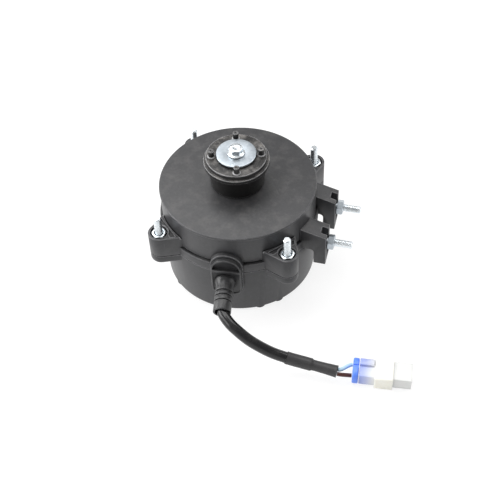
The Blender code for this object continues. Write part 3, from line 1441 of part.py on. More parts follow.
def build_motor():
    """Builds every part of the motor in order."""
    rotor = bpy.data.objects.new("rotor_axis", None)
    PARTS.objects.link(rotor)
    build_front_housing()
    build_rear_housing()
    build_gasket()
    nut = build_through_bolts()
    build_bracket_bolts(nut)
    build_hub(rotor)
    build_blade_fixing(rotor)
    build_shaft(rotor)
    build_bearing("front_bearing", FRONT_BEARING_BOTTOM, rotor)
    build_bearing("rear_bearing", REAR_BEARING_BOTTOM, rotor)
    build_seals()
    build_stator()
    build_rotor_core(rotor)
    build_board()
    build_grommet()
    build_cable()
    build_plug()
    build_inner_leads()


build_motor()
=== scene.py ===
"""Looks of a round plastic fan motor: housings, blade hub, bolts, rubber grommet, cable and plug.

Every length in the part classes is in millimetres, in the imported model's frame, and becomes metres
when a piece is placed. The four lug bolts stand on the diagonals, the two bracket bolts point along
+X and the cable leaves towards -Y.
"""

import json
import logging
import math
from dataclasses import dataclass, field
from enum import Enum
from typing import Callable, Iterable, Optional, Sequence

import bmesh
import bpy
from mathutils import Matrix, Vector


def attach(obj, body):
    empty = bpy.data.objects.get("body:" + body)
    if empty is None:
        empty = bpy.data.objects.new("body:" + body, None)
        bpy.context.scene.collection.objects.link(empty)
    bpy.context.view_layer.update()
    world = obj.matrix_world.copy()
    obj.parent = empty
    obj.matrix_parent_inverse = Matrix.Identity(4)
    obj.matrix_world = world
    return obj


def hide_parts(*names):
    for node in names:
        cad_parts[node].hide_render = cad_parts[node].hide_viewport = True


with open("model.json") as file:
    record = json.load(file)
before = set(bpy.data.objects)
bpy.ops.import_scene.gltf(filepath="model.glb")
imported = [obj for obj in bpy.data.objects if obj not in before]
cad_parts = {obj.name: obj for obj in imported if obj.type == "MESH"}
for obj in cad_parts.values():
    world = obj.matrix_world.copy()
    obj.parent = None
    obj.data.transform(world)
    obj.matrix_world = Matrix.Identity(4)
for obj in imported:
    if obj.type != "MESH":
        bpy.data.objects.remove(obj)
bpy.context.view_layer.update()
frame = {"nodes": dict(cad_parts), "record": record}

LOG = logging.getLogger("fan_motor")
MM = 0.001
IMAGE_SIDE = 500
SMOOTH_ANGLE = math.radians(34)
UP = Vector((0.0, 0.0, 1.0))
# The largest share of a side that the rounding of one corner takes up
CORNER_SHARE = 0.49
# A radius below this, in millimetres, lies on the axis
ON_AXIS = 1e-6
# Points closer than this, in millimetres, become one after a Boolean
WELD = 0.0005
# Edges whose middle lies this near a face, in millimetres, are rounded with it
NEAR = 0.1
TOUCHING = 0.01
# The colour sockets of a Mix node: its factor and two inputs, then its output
MIX_INPUTS = (0, 6, 7)
MIX_OUTPUT = 2

Point2 = tuple[float, float]
Corner = tuple[float, float, float]
Colour = tuple[float, float, float]


class Body(Enum):
    """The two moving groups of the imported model."""

    HOUSING = "housing"
    ROTOR = "rotor"


class Side(Enum):
    """Which half of the housing a form belongs to."""

    FRONT = "front"
    REAR = "rear"


class Grain(Enum):
    """How a surface is finished in the mould or on the machine."""

    MOULDED = "moulded"
    RUBBER = "rubber"
    PLATED = "plated"
    LAYERED = "layered"
    WOUND = "wound"
    BOARD = "board"
    WRINKLED = "wrinkled"


# Shape making


def arc(centre: Point2, radius: float, start: float, end: float, count: int) -> list[Point2]:
    """Points along an arc.

    Args:
        centre: The arc's centre.
        radius: Its radius.
        start: First angle in degrees.
        end: Last angle in degrees.
        count: How many points to return.

    Returns:
        The points, from the first angle to the last.
    """
    points = []
    for index in range(count):
        angle = math.radians(start + (end - start) * index / (count - 1))
        points.append((centre[0] + radius * math.cos(angle), centre[1] + radius * math.sin(angle)))
    return points


def softened(corners: Sequence[Corner], closed: bool = True, facets: int = 4) -> list[Point2]:
    """Rounds each corner of a section by its own radius.

    Args:
        corners: (x, y, radius) of each corner.
        closed: Whether the last corner runs on to the first.
        facets: Steps in each rounding.

    Returns:
        The rounded section's points.
    """
    points: list[Point2] = []
    count = len(corners)
    for index, (x, y, radius) in enumerate(corners):
        here = Vector((x, y))
        if radius <= 0 or (not closed and index in (0, count - 1)):
            points.append((x, y))
            continue
        before = Vector(corners[index - 1][:2])
        after = Vector(corners[(index + 1) % count][:2])
        back = (before - here).normalized()
        ahead = (after - here).normalized()
        half = back.angle(ahead) / 2
        shorter = min((before - here).length, (after - here).length)
        reach = min(radius / math.tan(half), shorter * CORNER_SHARE)
        start = here + back * reach
        end = here + ahead * reach
        for step in range(facets + 1):
            t = step / facets
            point = start * (1 - t) ** 2 + here * 2 * t * (1 - t) + end * t**2
            points.append((point.x, point.y))
    return points


def spin(degrees: float) -> Matrix:
    """A turn about the shaft's axis."""
    return Matrix.Rotation(math.radians(degrees), 4, "Z")


def shift(x: float, y: float, z: float) -> Matrix:
    """A move by three lengths."""
    return Matrix.Translation((x, y, z))


def outwards(degrees: float, radius: float, height: float) -> Matrix:
    """A frame on the wall.

    Args:
        degrees: Azimuth of the frame.
        radius: Distance from the shaft's axis.
        height: Height above the bench.

    Returns:
        A matrix whose local Z points away from the shaft, Y up and X along the wall.
    """
    angle = math.radians(degrees)
    along = Vector((-math.sin(angle), math.cos(angle), 0.0))
    away = Vector((math.cos(angle), math.sin(angle), 0.0))
    turn = Matrix((along, UP, away)).transposed().to_4x4()
    return Matrix.Translation(away * radius + UP * height) @ turn


def hexagon_outline(half_flats: float) -> list[Point2]:
    """The corners of a hexagon, from half its width across the flats."""
    return arc((0.0, 0.0), half_flats / math.cos(math.pi / 6), 0.0, 300.0, 6)


class Form:
    """A closed mesh in millimetres that is built, cut, joined and then placed."""

    def __init__(self, mesh: Optional[bmesh.types.BMesh] = None) -> None:
        """Starts from a mesh, or from nothing."""
        self.mesh = mesh if mesh is not None else bmesh.new()

    @classmethod
    def turned(cls, section: Sequence[Point2], steps: int, ring: bool = False) -> "Form":
        """Turns a section of (radius, height) points about Z.

        Args:
            section: The points, running down the outer side.
            steps: How many facets round the axis.
            ring: Whether the section is closed on itself.

        Returns:
            The turned form.
        """
        form = cls()
        work = form.mesh
        rings = []
        for radius, height in section:
            if radius < ON_AXIS:
                rings.append([work.verts.new((0.0, 0.0, height))])
                continue
            row = []
            for step in range(steps):
                angle = 2 * math.pi * step / steps
                row.append(work.verts.new((radius * math.cos(angle), radius * math.sin(angle), height)))
            rings.append(row)
        pairs = list(zip(rings, rings[1:]))
        if ring:
            pairs.append((rings[-1], rings[0]))
        for upper, lower in pairs:
            for step in range(steps):
                after = (step + 1) % steps
                corners = [upper[step % len(upper)], lower[step % len(lower)]]
                corners += [lower[after % len(lower)], upper[after % len(upper)]]
                unique = list(dict.fromkeys(corners))
                if len(unique) > 2:
                    work.faces.new(unique)
        return form.tidied()

    @classmethod
    def slab(cls, outline: Sequence[Point2], low: float, high: float) -> "Form":
        """Pulls a flat outline up between two heights.

        Args:
            outline: The outline's points, running anticlockwise.
            low: Height of the lower face.
            high: Height of the upper face.

        Returns:
            The slab.
        """
        form = cls()
        work = form.mesh
        bottom = [work.verts.new((x, y, low)) for x, y in outline]
        top = [work.verts.new((x, y, high)) for x, y in outline]
        work.faces.new(list(reversed(bottom)))
        work.faces.new(top)
        for index in range(len(outline)):
            after = (index + 1) % len(outline)
            work.faces.new((bottom[index], bottom[after], top[after], top[index]))
        return form.tidied()

    @classmethod
    def block(cls, low: Sequence[float], high: Sequence[float]) -> "Form":
        """A box between two opposite corners.

        Args:
            low: The corner with the smallest coordinates.
            high: The corner with the largest.

        Returns:
            The box.
        """
        form = cls()
        bmesh.ops.create_cube(form.mesh, size=1.0)
        size = [b - a for a, b in zip(low, high)]
        middle = [(a + b) / 2 for a, b in zip(low, high)]
        bmesh.ops.scale(form.mesh, verts=form.mesh.verts, vec=size)
        bmesh.ops.translate(form.mesh, verts=form.mesh.verts, vec=middle)
        return form

    @classmethod
    def hexagon(cls, across_flats: float, low: float, high: float) -> "Form":
        """A six-sided prism with its corners cut back by a cone at both ends.

        Args:
            across_flats: Its width across the flats.
            low: Height of the lower face.
            high: Height of the upper face.

        Returns:
            The prism.
        """
        outline = hexagon_outline(across_flats / 2)
        corner = outline[0][0]
        form = cls.slab(outline, low, high)
        spare, steepness = 0.1, 0.6
        slope = (corner - across_flats / 2) * steepness
        flat = across_flats / 2 - spare
        section = [
            (0.0, high),
            (flat, high),
            (corner + spare, high - slope - spare),
            (corner + spare, low + slope + spare),
            (flat, low),
            (0.0, low),
        ]
        return form.combined(cls.turned(section, 72), "INTERSECT")

    @classmethod
    def rod(cls, radius: float, low: float, high: float, steps: int) -> "Form":
        """A plain cylinder about Z between two heights."""
        return cls.turned([(0.0, high), (radius, high), (radius, low), (0.0, low)], steps)

    def tidied(self) -> "Form":
        """Turns every face outwards and returns the form."""
        bmesh.ops.recalc_face_normals(self.mesh, faces=self.mesh.faces)
        return self

    def placed(self, matrix: Matrix) -> "Form":
        """Moves the form by a matrix and returns it."""
        bmesh.ops.transform(self.mesh, matrix=matrix, verts=self.mesh.verts)
        return self

    def rounded(
        self, width: float, facets: int = 2, chosen: Optional[Callable[[Vector], bool]] = None
    ) -> "Form":
        """Rounds sharp edges.

        Args:
            width: The rounding's width.
            facets: Its number of facets.
            chosen: Picks edges by their middle point; all sharp edges where left out.

        Returns:
            The same form.
        """
        edges = []
        for edge in self.mesh.edges:
            middle = (edge.verts[0].co + edge.verts[1].co) / 2
            if edge.calc_face_angle(0.0) > SMOOTH_ANGLE and (chosen is None or chosen(middle)):
                edges.append(edge)
        bmesh.ops.bevel(
            self.mesh,
            geom=edges,
            offset=width,
            segments=facets,
            profile=0.5,
            affect="EDGES",
            clamp_overlap=True,
        )
        return self

    def combined(self, other: "Form", operation: str) -> "Form":
        """Runs one exact Boolean with another form.

        Args:
            other: The second form, used up by this call.
            operation: UNION, DIFFERENCE or INTERSECT.

        Returns:
            The same form with the result.
        """
        first = self.loose_object("form")
        second = other.loose_object("tool")
        step = first.modifiers.new("combine", "BOOLEAN")
        step.operation = operation
        step.solver = "EXACT"
        step.object = second
        graph = bpy.context.evaluated_depsgraph_get()
        result = bpy.data.meshes.new_from_object(first.evaluated_get(graph))
        self.mesh.free()
        self.mesh = bmesh.new()
        self.mesh.from_mesh(result)
        bmesh.ops.remove_doubles(self.mesh, verts=self.mesh.verts, dist=WELD)
        for obj in (first, second):
            data = obj.data
            bpy.data.objects.remove(obj)
            bpy.data.meshes.remove(data)
        bpy.data.meshes.remove(result)
        return self

    def cut(self, *others: "Form") -> "Form":
        """Takes each of the others out of this form.

        Args:
            *others: The forms to take out, used up by this call.

        Returns:
            The same form.
        """
        for other in others:
            self.combined(other, "DIFFERENCE")
        return self

    def joined(self, *others: "Form") -> "Form":
        """Unites this form with each of the others.

        Args:
            *others: The forms to unite with, used up by this call.

        Returns:
            The same form.
        """
        for other in others:
            self.combined(other, "UNION")
        return self

    def beside(self, *others: "Form") -> "Form":
        """Adds other forms as they are, sunk into this one or next to it.

        Args:
            *others: The forms to add, used up by this call.

        Returns:
            The same form.
        """
        for other in others:
            loose = bpy.data.meshes.new("beside")
            other.mesh.to_mesh(loose)
            self.mesh.from_mesh(loose)
            bpy.data.meshes.remove(loose)
            other.mesh.free()
        return self

    def loose_object(self, name: str) -> bpy.types.Object:
        """Puts a copy of the form in the scene for a Boolean.

        Args:
            name: The object's name.

        Returns:
            The object, which the Boolean deletes again.
        """
        mesh = bpy.data.meshes.new(name)
        self.mesh.to_mesh(mesh)
        obj = bpy.data.objects.new(name, mesh)
        bpy.context.scene.collection.objects.link(obj)
        return obj


@dataclass
class Placer:
    """Puts finished forms in the scene as pieces of the motor."""

    palette: "Palette"
    made: list[bpy.types.Object] = field(default_factory=list)

    def piece(
        self,
        name: str,
        form: Form,
        slot: str,
        stands_for: Iterable[str],
        body: Body = Body.HOUSING,
        finish: Optional[str] = None,
    ) -> bpy.types.Object:
        """Makes one piece.

        Args:
            name: The piece's name.
            form: Its form in millimetres, used up by this call.
            slot: The record's material slot.
            stands_for: The solids it replaces.
            body: The group it moves with.
            finish: The finish where it isn't the slot's own.

        Returns:
            The new object.
        """
        mesh = bpy.data.meshes.new(name)
        bmesh.ops.scale(form.mesh, verts=form.mesh.verts, vec=(MM, MM, MM))
        form.mesh.to_mesh(mesh)
        form.mesh.free()
        obj = bpy.data.objects.new(name, mesh)
        bpy.context.scene.collection.objects.link(obj)
        mesh.materials.append(self.palette[finish or slot])
        mesh.shade_smooth()
        mesh.set_sharp_from_angle(angle=SMOOTH_ANGLE)
        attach(obj, body.value)
        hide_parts(*stands_for)
        self.made.append(obj)
        LOG.info("placed %s", obj.name)
        return obj


# Finishes


class Wiring:
    """Short ways to add and join nodes in one node tree."""

    def __init__(self, tree: bpy.types.NodeTree) -> None:
        """Holds the tree to work in."""
        self.tree = tree

    def node(self, kind: str, values: Optional[dict] = None, **settings: object) -> bpy.types.Node:
        """Adds a node.

        Args:
            kind: The node's type.
            values: Default values or sockets to join, by input name or number.
            **settings: Attributes of the node.

        Returns:
            The new node.
        """
        made = self.tree.nodes.new(kind)
        for key, value in settings.items():
            setattr(made, key, value)
        for key, value in (values or {}).items():
            self.feed(made.inputs[key], value)
        return made

    def feed(self, socket: bpy.types.NodeSocket, value: object) -> None:
        """Sets an input to a plain value or joins it to a socket.

        Args:
            socket: The input.
            value: A number, a vector, a colour or an output socket.
        """
        if isinstance(value, bpy.types.NodeSocket):
            self.tree.links.new(value, socket)
        elif isinstance(value, tuple) and len(value) == 3 and socket.type == "RGBA":
            socket.default_value = (*value, 1.0)
        else:
            socket.default_value = value

    def maths(self, operation: str, *values: object) -> bpy.types.NodeSocket:
        """Adds a Math node.

        Args:
            operation: What the node does.
            *values: Its inputs in order, numbers or sockets.

        Returns:
            The node's output.
        """
        made = self.node("ShaderNodeMath", operation=operation)
        for index, value in enumerate(values):
            self.feed(made.inputs[index], value)
        return made.outputs[0]

    def blend(self, factor: object, first: object, second: object) -> bpy.types.NodeSocket:
        """Mixes two colours.

        Args:
            factor: Share of the second colour.
            first: The colour where the factor is 0.
            second: The colour where the factor is 1.

        Returns:
            The mixed colour.
        """
        made = self.node("ShaderNodeMix", data_type="RGBA", blend_type="MIX")
        for index, value in zip(MIX_INPUTS, (factor, first, second)):
            self.feed(made.inputs[index], value)
        return made.outputs[MIX_OUTPUT]

    def between(
        self, value: object, low: float, high: float, to_low: float = 0.0, to_high: float = 1.0
    ) -> bpy.types.NodeSocket:
        """Maps a value smoothly from one range to another.

        Args:
            value: The value to map.
            low: Start of its own range.
            high: End of its own range.
            to_low: What the start becomes.
            to_high: What the end becomes.

        Returns:
            The mapped value.
        """
        made = self.node("ShaderNodeMapRange", interpolation_type="SMOOTHSTEP")
        for index, item in enumerate((value, low, high, to_low, to_high)):
            self.feed(made.inputs[index], item)
        return made.outputs[0]

    def noise(
        self, where: object, scale: object, detail: float = 4.0, rough: float = 0.55
    ) -> bpy.types.NodeSocket:
        """A noise texture's value."""
        values = {"Vector": where, "Scale": scale, "Detail": detail, "Roughness": rough}
        return self.node("ShaderNodeTexNoise", values).outputs["Fac"]

    def stretched(self, where: object, scale: Sequence[float]) -> bpy.types.NodeSocket:
        """Coordinates scaled by its own amount along each axis."""
        made = self.node("ShaderNodeMapping", {"Vector": where, "Scale": tuple(scale)})
        return made.outputs[0]


class SharedEffects:
    """Node groups that several finishes use, each built once."""

    def __init__(self) -> None:
        """Builds every group."""
        self.grain = self.build_grain()
        self.flow = self.build_flow()
        # Dust on upward faces that also paints their sheen
        self.dust_and_sheen = self.build_dust_and_sheen()
        self.scuffs = self.build_scuffs()
        self.plating = self.build_plating()
        self.bands = self.build_bands()
        # Masks for painted highlights on outer edges and painted shade in creases
        self.edges = self.build_edges()

    @staticmethod
    def begin(
        name: str, numbers: dict[str, float], outputs: Sequence[str]
    ) -> tuple[Wiring, dict[str, bpy.types.NodeSocket], bpy.types.Node]:
        """Starts a group with a position input, named numbers and value outputs.

        Args:
            name: The group's name.
            numbers: Default of each number input.
            outputs: Names of the value outputs.

        Returns:
            The wiring, the inputs by name, and the group's output node.
        """
        tree = bpy.data.node_groups.new(name, "ShaderNodeTree")
        tree.interface.new_socket("Where", in_out="INPUT", socket_type="NodeSocketVector")
        for label, default in numbers.items():
            socket = tree.interface.new_socket(label, in_out="INPUT", socket_type="NodeSocketFloat")
            socket.default_value = default
        for label in outputs:
            tree.interface.new_socket(label, in_out="OUTPUT", socket_type="NodeSocketFloat")
        wiring = Wiring(tree)
        entry = wiring.node("NodeGroupInput")
        leave = wiring.node("NodeGroupOutput")
        inputs = {socket.name: socket for socket in entry.outputs if socket.name}
        return wiring, inputs, leave

    def build_grain(self) -> bpy.types.NodeTree:
        """Fine mould texture: small pits and a soft orange peel.

        Returns:
            The group, with a height and a mask.
        """
        wiring, inputs, leave = self.begin(
            "moulded grain", {"Scale": 900.0, "Pits": 0.4}, ["Height", "Mask"]
        )
        where, scale = inputs["Where"], inputs["Scale"]
        fine = wiring.noise(where, scale, 6.0, 0.62)
        broad = wiring.noise(where, wiring.maths("MULTIPLY", scale, 0.22), 3.0)
        cells = wiring.node("ShaderNodeTexVoronoi", {"Vector": where, "Scale": scale})
        pits = wiring.between(cells.outputs["Distance"], 0.05, 0.3)
        soft = wiring.maths("MULTIPLY", fine, 0.6)
        pitted = wiring.maths("MULTIPLY_ADD", pits, inputs["Pits"], soft)
        height = wiring.maths("ADD", pitted, wiring.maths("MULTIPLY", broad, 0.5))
        wiring.feed(leave.inputs["Height"], height)
        wiring.feed(leave.inputs["Mask"], fine)
        return wiring.tree

    def build_flow(self) -> bpy.types.NodeTree:
        """Cloudy flow marks of filled plastic, drawn out along the mould's filling.

        Returns:
            The group, with a mask.
        """
        wiring, inputs, leave = self.begin("flow marks", {"Scale": 60.0, "Pull": 2.5}, ["Mask"])
        where, scale = inputs["Where"], inputs["Scale"]
        warp = wiring.node("ShaderNodeTexNoise", {"Vector": where, "Scale": 30.0, "Detail": 2.0})
        moved = wiring.node(
            "ShaderNodeVectorMath",
            {0: warp.outputs["Color"], 1: (0.02, 0.02, 0.02), 2: where},
            operation="MULTIPLY_ADD",
        )
        long = wiring.stretched(moved.outputs[0], (1.0, 0.35, 0.7))
        clouds = wiring.noise(long, scale, 5.0, 0.6)
        speckle = wiring.noise(where, wiring.maths("MULTIPLY", scale, 9.0), 3.0, 0.7)
        mixed = wiring.maths("MULTIPLY_ADD", speckle, 0.7, wiring.maths("MULTIPLY", clouds, 0.5))
        eased = wiring.between(mixed, 0.36, 0.84)
        pull = wiring.maths("MULTIPLY", inputs["Pull"], 0.4)
        wiring.feed(leave.inputs["Mask"], wiring.maths("POWER", eased, pull))
        return wiring.tree

    def build_dust_and_sheen(self) -> bpy.types.NodeTree:
        """Thin pale dust on faces turned upwards, which also paints a lighter sheen on those tops.

        Returns:
            The group, with a mask.
        """
        wiring, inputs, leave = self.begin("settled dust", {"Amount": 0.3, "Scale": 160.0}, ["Mask"])
        shape = wiring.node("ShaderNodeNewGeometry")
        split = wiring.node("ShaderNodeSeparateXYZ", {0: shape.outputs["Normal"]})
        level = wiring.between(split.outputs["Z"], 0.2, 0.95)
        clouds = wiring.noise(inputs["Where"], inputs["Scale"], 7.0, 0.68)
        patches = wiring.between(clouds, 0.42, 0.72)
        points = wiring.noise(inputs["Where"], 2600.0, 2.0, 0.5)
        specks = wiring.between(points, 0.62, 0.72)
        both = wiring.maths("MAXIMUM", patches, wiring.maths("MULTIPLY", specks, 0.8))
        lying = wiring.maths("MULTIPLY", both, level)
        wiring.feed(leave.inputs["Mask"], wiring.maths("MULTIPLY", lying, inputs["Amount"]))
        return wiring.tree

    def build_scuffs(self) -> bpy.types.NodeTree:
        """Hairline scratches and rubs in a few directions.

        Returns:
            The group, with a mask.
        """
        wiring, inputs, leave = self.begin("hairline scuffs", {"Amount": 0.4, "Scale": 220.0}, ["Mask"])
        lines = []
        for turn, pull in ((0.5, 26.0), (1.7, 34.0), (2.6, 22.0)):
            turned = wiring.node("ShaderNodeVectorRotate", {"Vector": inputs["Where"], "Angle": turn})
            thin = wiring.stretched(turned.outputs[0], (pull, 1.0, 1.0))
            value = wiring.noise(thin, wiring.maths("MULTIPLY", inputs["Scale"], 0.5), 1.0, 0.4)
            lines.append(wiring.between(value, 0.715, 0.745))
        most = wiring.maths("MAXIMUM", wiring.maths("MAXIMUM", lines[0], lines[1]), lines[2])
        gate = wiring.between(wiring.noise(inputs["Where"], 45.0, 2.0), 0.45, 0.62)
        kept = wiring.maths("MULTIPLY", most, gate)
        wiring.feed(leave.inputs["Mask"], wiring.maths("MULTIPLY", kept, inputs["Amount"]))
        return wiring.tree

    def build_plating(self) -> bpy.types.NodeTree:
        """Bright zinc: faint spangle, rolling lines and dull spots.

        Returns:
            The group, with a height, a tint mask and a mask of dull spots.
        """
        wiring, inputs, leave = self.begin(
            "zinc plating", {"Scale": 700.0, "Lines": 0.3}, ["Height", "Spangle", "Dull"]
        )
        where, scale = inputs["Where"], inputs["Scale"]
        cells = wiring.node("ShaderNodeTexVoronoi", {"Vector": where, "Scale": scale})
        split = wiring.node("ShaderNodeSeparateColor", {0: cells.outputs["Color"]})
        rolled = wiring.noise(wiring.stretched(where, (1.0, 16.0, 1.0)), scale, 3.0, 0.5)
        grainy = wiring.maths("MULTIPLY", split.outputs[0], 0.2)
        height = wiring.maths("MULTIPLY_ADD", rolled, inputs["Lines"], grainy)
        wiring.feed(leave.inputs["Height"], height)
        wiring.feed(leave.inputs["Spangle"], split.outputs[1])
        dull = wiring.noise(where, wiring.maths("MULTIPLY", scale, 0.35), 6.0, 0.65)
        wiring.feed(leave.inputs["Dull"], wiring.between(dull, 0.48, 0.7))
        return wiring.tree

    def build_bands(self) -> bpy.types.NodeTree:
        """Fine parallel ridges, as of stacked sheets or wound wire; the pitch is in millimetres.

        Returns:
            The group, with a height.
        """
        wiring, inputs, leave = self.begin("fine bands", {"Pitch": 0.5, "Tilt": 0.0}, ["Height"])
        split = wiring.node("ShaderNodeSeparateXYZ", {0: inputs["Where"]})
        around = wiring.maths("ARCTAN2", split.outputs["Y"], split.outputs["X"])
        rise = wiring.maths("MULTIPLY", split.outputs["Z"], 1000.0)
        leaned = wiring.maths("MULTIPLY_ADD", around, inputs["Tilt"], rise)
        turn = wiring.maths("DIVIDE", wiring.maths("MULTIPLY", leaned, 2 * math.pi), inputs["Pitch"])
        wave = wiring.maths("MULTIPLY_ADD", wiring.maths("SINE", turn), 0.5, 0.5)
        wiring.feed(leave.inputs["Height"], wiring.maths("POWER", wave, 0.5))
        return wiring.tree

    def build_edges(self) -> bpy.types.NodeTree:
        """Painted highlights along outer edges and painted shade in creases, told apart by how open the
        surface is there.

        Returns:
            The group, with a mask of painted edge highlights and a mask of painted crease shade.
        """
        wiring, inputs, leave = self.begin(
            "painted edge highlights and crease shade", {"Reach": 0.0009, "Depth": 0.0014}, ["Worn", "Crease shade"]
        )
        inner = wiring.node(
            "ShaderNodeAmbientOcclusion",
            {"Distance": inputs["Reach"]},
            inside=True,
            only_local=True,
            samples=8,
        )
        outer = wiring.node("ShaderNodeAmbientOcclusion", {"Distance": inputs["Depth"]}, samples=8)
        uneven = wiring.between(wiring.noise(inputs["Where"], 380.0, 4.0), 0.3, 0.6, 0.45, 1.0)
        # Painted highlight: strong where inward occlusion finds a thin outer edge, broken up by noise
        edge_highlight = wiring.between(inner.outputs["AO"], 0.68, 0.97, 1.0, 0.0)
        wiring.feed(leave.inputs["Worn"], wiring.maths("MULTIPLY", edge_highlight, uneven))
        # Painted shade: strong where outward occlusion finds a crease or hollow
        crease = wiring.between(outer.outputs["AO"], 0.25, 0.9, 1.0, 0.0)
        wiring.feed(leave.inputs["Crease shade"], crease)
        return wiring.tree


# Pale colour of the dust on upward faces, which also paints their sheen
DUST_AND_SHEEN_COLOUR: Colour = (0.34, 0.32, 0.3)
# Colour of the painted shade laid in creases and hollows
PAINTED_SHADE_COLOUR: Colour = (0.003, 0.003, 0.003)
COAT_ROUGHNESS = 0.12
NYLON_INDEX = 1.5


@dataclass(frozen=True)
class Finish:
    """One surface: its colours, gloss and the effects laid over it."""

    name: str
    colour: Colour
    second: Colour
    rough: float
    rough_spread: float = 0.08
    metal: float = 0.0
    grain: Grain = Grain.MOULDED
    grain_scale: float = 900.0
    depth: float = 0.00002
    # Dust on upward faces, which also paints a lighter sheen on them
    dust_and_sheen: float = 0.0
    scuffs: float = 0.0
    coat: float = 0.0
    clear: float = 0.0
    pitch: float = 0.5
    tilt: float = 0.0
    # Strength of the painted highlight on outer edges
    edge_highlight: float = 0.0
    # Strength of the painted shade in creases and hollows
    painted_shade: float = 0.0
    # Colour of the painted highlight on outer edges
    edge: Colour = (0.3, 0.3, 0.31)
    edge_reach: float = 0.00055
    crease_reach: float = 0.0022
    # The colour blends along X into the far colour; on the clear plug body this ends the painted blue light
    fade: Optional[tuple[float, float]] = None
    far: Colour = (0.98, 0.985, 0.97)

    def build(self, effects: SharedEffects) -> bpy.types.Material:
        """Makes the material.

        Args:
            effects: The shared node groups.

        Returns:
            The finished material.
        """
        made = bpy.data.materials.new(self.name)
        made.use_nodes = True
        wiring = Wiring(made.node_tree)
        surface = made.node_tree.nodes["Principled BSDF"]
        where = wiring.node("ShaderNodeTexCoord").outputs["Object"]
        height, tint, roughness = self.pattern(wiring, effects, where)
        colour = wiring.blend(tint, self.colour, self.second)
        # Blends along X into the far colour, which ends the painted blue light on the clear plug body
        if self.fade:
            along = wiring.node("ShaderNodeSeparateXYZ", {0: where}).outputs["X"]
            colour = wiring.blend(wiring.between(along, *self.fade), colour, self.far)
        rubbed_colour = tuple(min(1.0, part * 2.2 + 0.05) for part in self.colour)
        for group, amount, laid, duller in (
            (effects.scuffs, self.scuffs, rubbed_colour, 0.15),
            # Dust on upward faces, also painting a lighter sheen on the tops
            (effects.dust_and_sheen, self.dust_and_sheen, DUST_AND_SHEEN_COLOUR, 0.35),
        ):
            if amount:
                film = wiring.node("ShaderNodeGroup", {0: where, 1: amount}, node_tree=group)
                colour = wiring.blend(film.outputs["Mask"], colour, laid)
                roughness = wiring.maths("MULTIPLY_ADD", film.outputs["Mask"], duller, roughness)
        # Painted highlights on outer edges and painted shade in creases and hollows
        if self.edge_highlight or self.painted_shade:
            reaches = {0: where, 1: self.edge_reach, 2: self.crease_reach}
            edges = wiring.node("ShaderNodeGroup", reaches, node_tree=effects.edges)
            edge_light_share = wiring.maths("MULTIPLY", edges.outputs["Worn"], self.edge_highlight)
            filled = wiring.maths("MULTIPLY", edges.outputs["Crease shade"], self.painted_shade)
            # Lays the painted highlight on outer edges
            colour = wiring.blend(edge_light_share, colour, self.edge)
            # Lays the painted shade into creases and hollows
            colour = wiring.blend(filled, colour, PAINTED_SHADE_COLOUR)
            roughness = wiring.maths("MULTIPLY_ADD", filled, 0.5, roughness)
        wiring.feed(surface.inputs["Base Color"], colour)
        wiring.feed(surface.inputs["Roughness"], wiring.maths("MINIMUM", roughness, 1.0))
        surface.inputs["Metallic"].default_value = self.metal
        surface.inputs["Coat Weight"].default_value = self.coat
        surface.inputs["Coat Roughness"].default_value = COAT_ROUGHNESS
        surface.inputs["Transmission Weight"].default_value = self.clear
        if self.clear:
            surface.inputs["IOR"].default_value = NYLON_INDEX
        bump = wiring.node("ShaderNodeBump", {"Height": height, "Distance": self.depth, "Strength": 1.0})
        wiring.feed(surface.inputs["Normal"], bump.outputs[0])
        return made

    def pattern(
        self, wiring: Wiring, effects: SharedEffects, where: bpy.types.NodeSocket
    ) -> tuple[bpy.types.NodeSocket, bpy.types.NodeSocket, bpy.types.NodeSocket]:
        """Places the effect that gives this surface its own texture.

        Args:
            wiring: The material's wiring.
            effects: The shared node groups.
            where: The position on the piece.

        Returns:
            Height, tint mask and roughness.
        """
        base = self.rough - self.rough_spread / 2
        scaled = {0: where, 1: self.grain_scale}
        if self.grain is Grain.PLATED:
            plating = wiring.node("ShaderNodeGroup", scaled, node_tree=effects.plating)
            uneven = wiring.maths("MULTIPLY_ADD", plating.outputs["Dull"], self.rough_spread, base)
            return plating.outputs["Height"], plating.outputs["Spangle"], uneven
        fine = wiring.node("ShaderNodeGroup", scaled, node_tree=effects.grain)
        uneven = wiring.maths("MULTIPLY_ADD", fine.outputs["Mask"], self.rough_spread, base)
        if self.grain in (Grain.LAYERED, Grain.WOUND):
            ridges = {0: where, 1: self.pitch, 2: self.tilt}
            bands = wiring.node("ShaderNodeGroup", ridges, node_tree=effects.bands)
            height = wiring.maths("MULTIPLY_ADD", fine.outputs["Height"], 0.1, bands.outputs["Height"])
            return height, wiring.maths("SUBTRACT", 1.0, bands.outputs["Height"]), uneven
        if self.grain is Grain.BOARD:
            bricks = {"Scale": 260.0, "Mortar Size": 0.09, "Brick Width": 1.6, "Row Height": 0.5}
            traces = wiring.node("ShaderNodeTexBrick", {"Vector": where, **bricks})
            mask = traces.outputs["Fac"]
            return wiring.maths("MULTIPLY_ADD", fine.outputs["Height"], 0.2, mask), mask, uneven
        if self.grain is Grain.WRINKLED:
            drawn = wiring.noise(wiring.stretched(where, (1.0, 4.0, 4.0)), 260.0, 5.0, 0.6)
            soft = wiring.maths("MULTIPLY", fine.outputs["Height"], 0.4)
            return wiring.maths("MULTIPLY_ADD", drawn, 1.4, soft), drawn, uneven
        clouds = wiring.node("ShaderNodeGroup", {0: where}, node_tree=effects.flow)
        return fine.outputs["Height"], clouds.outputs["Mask"], uneven


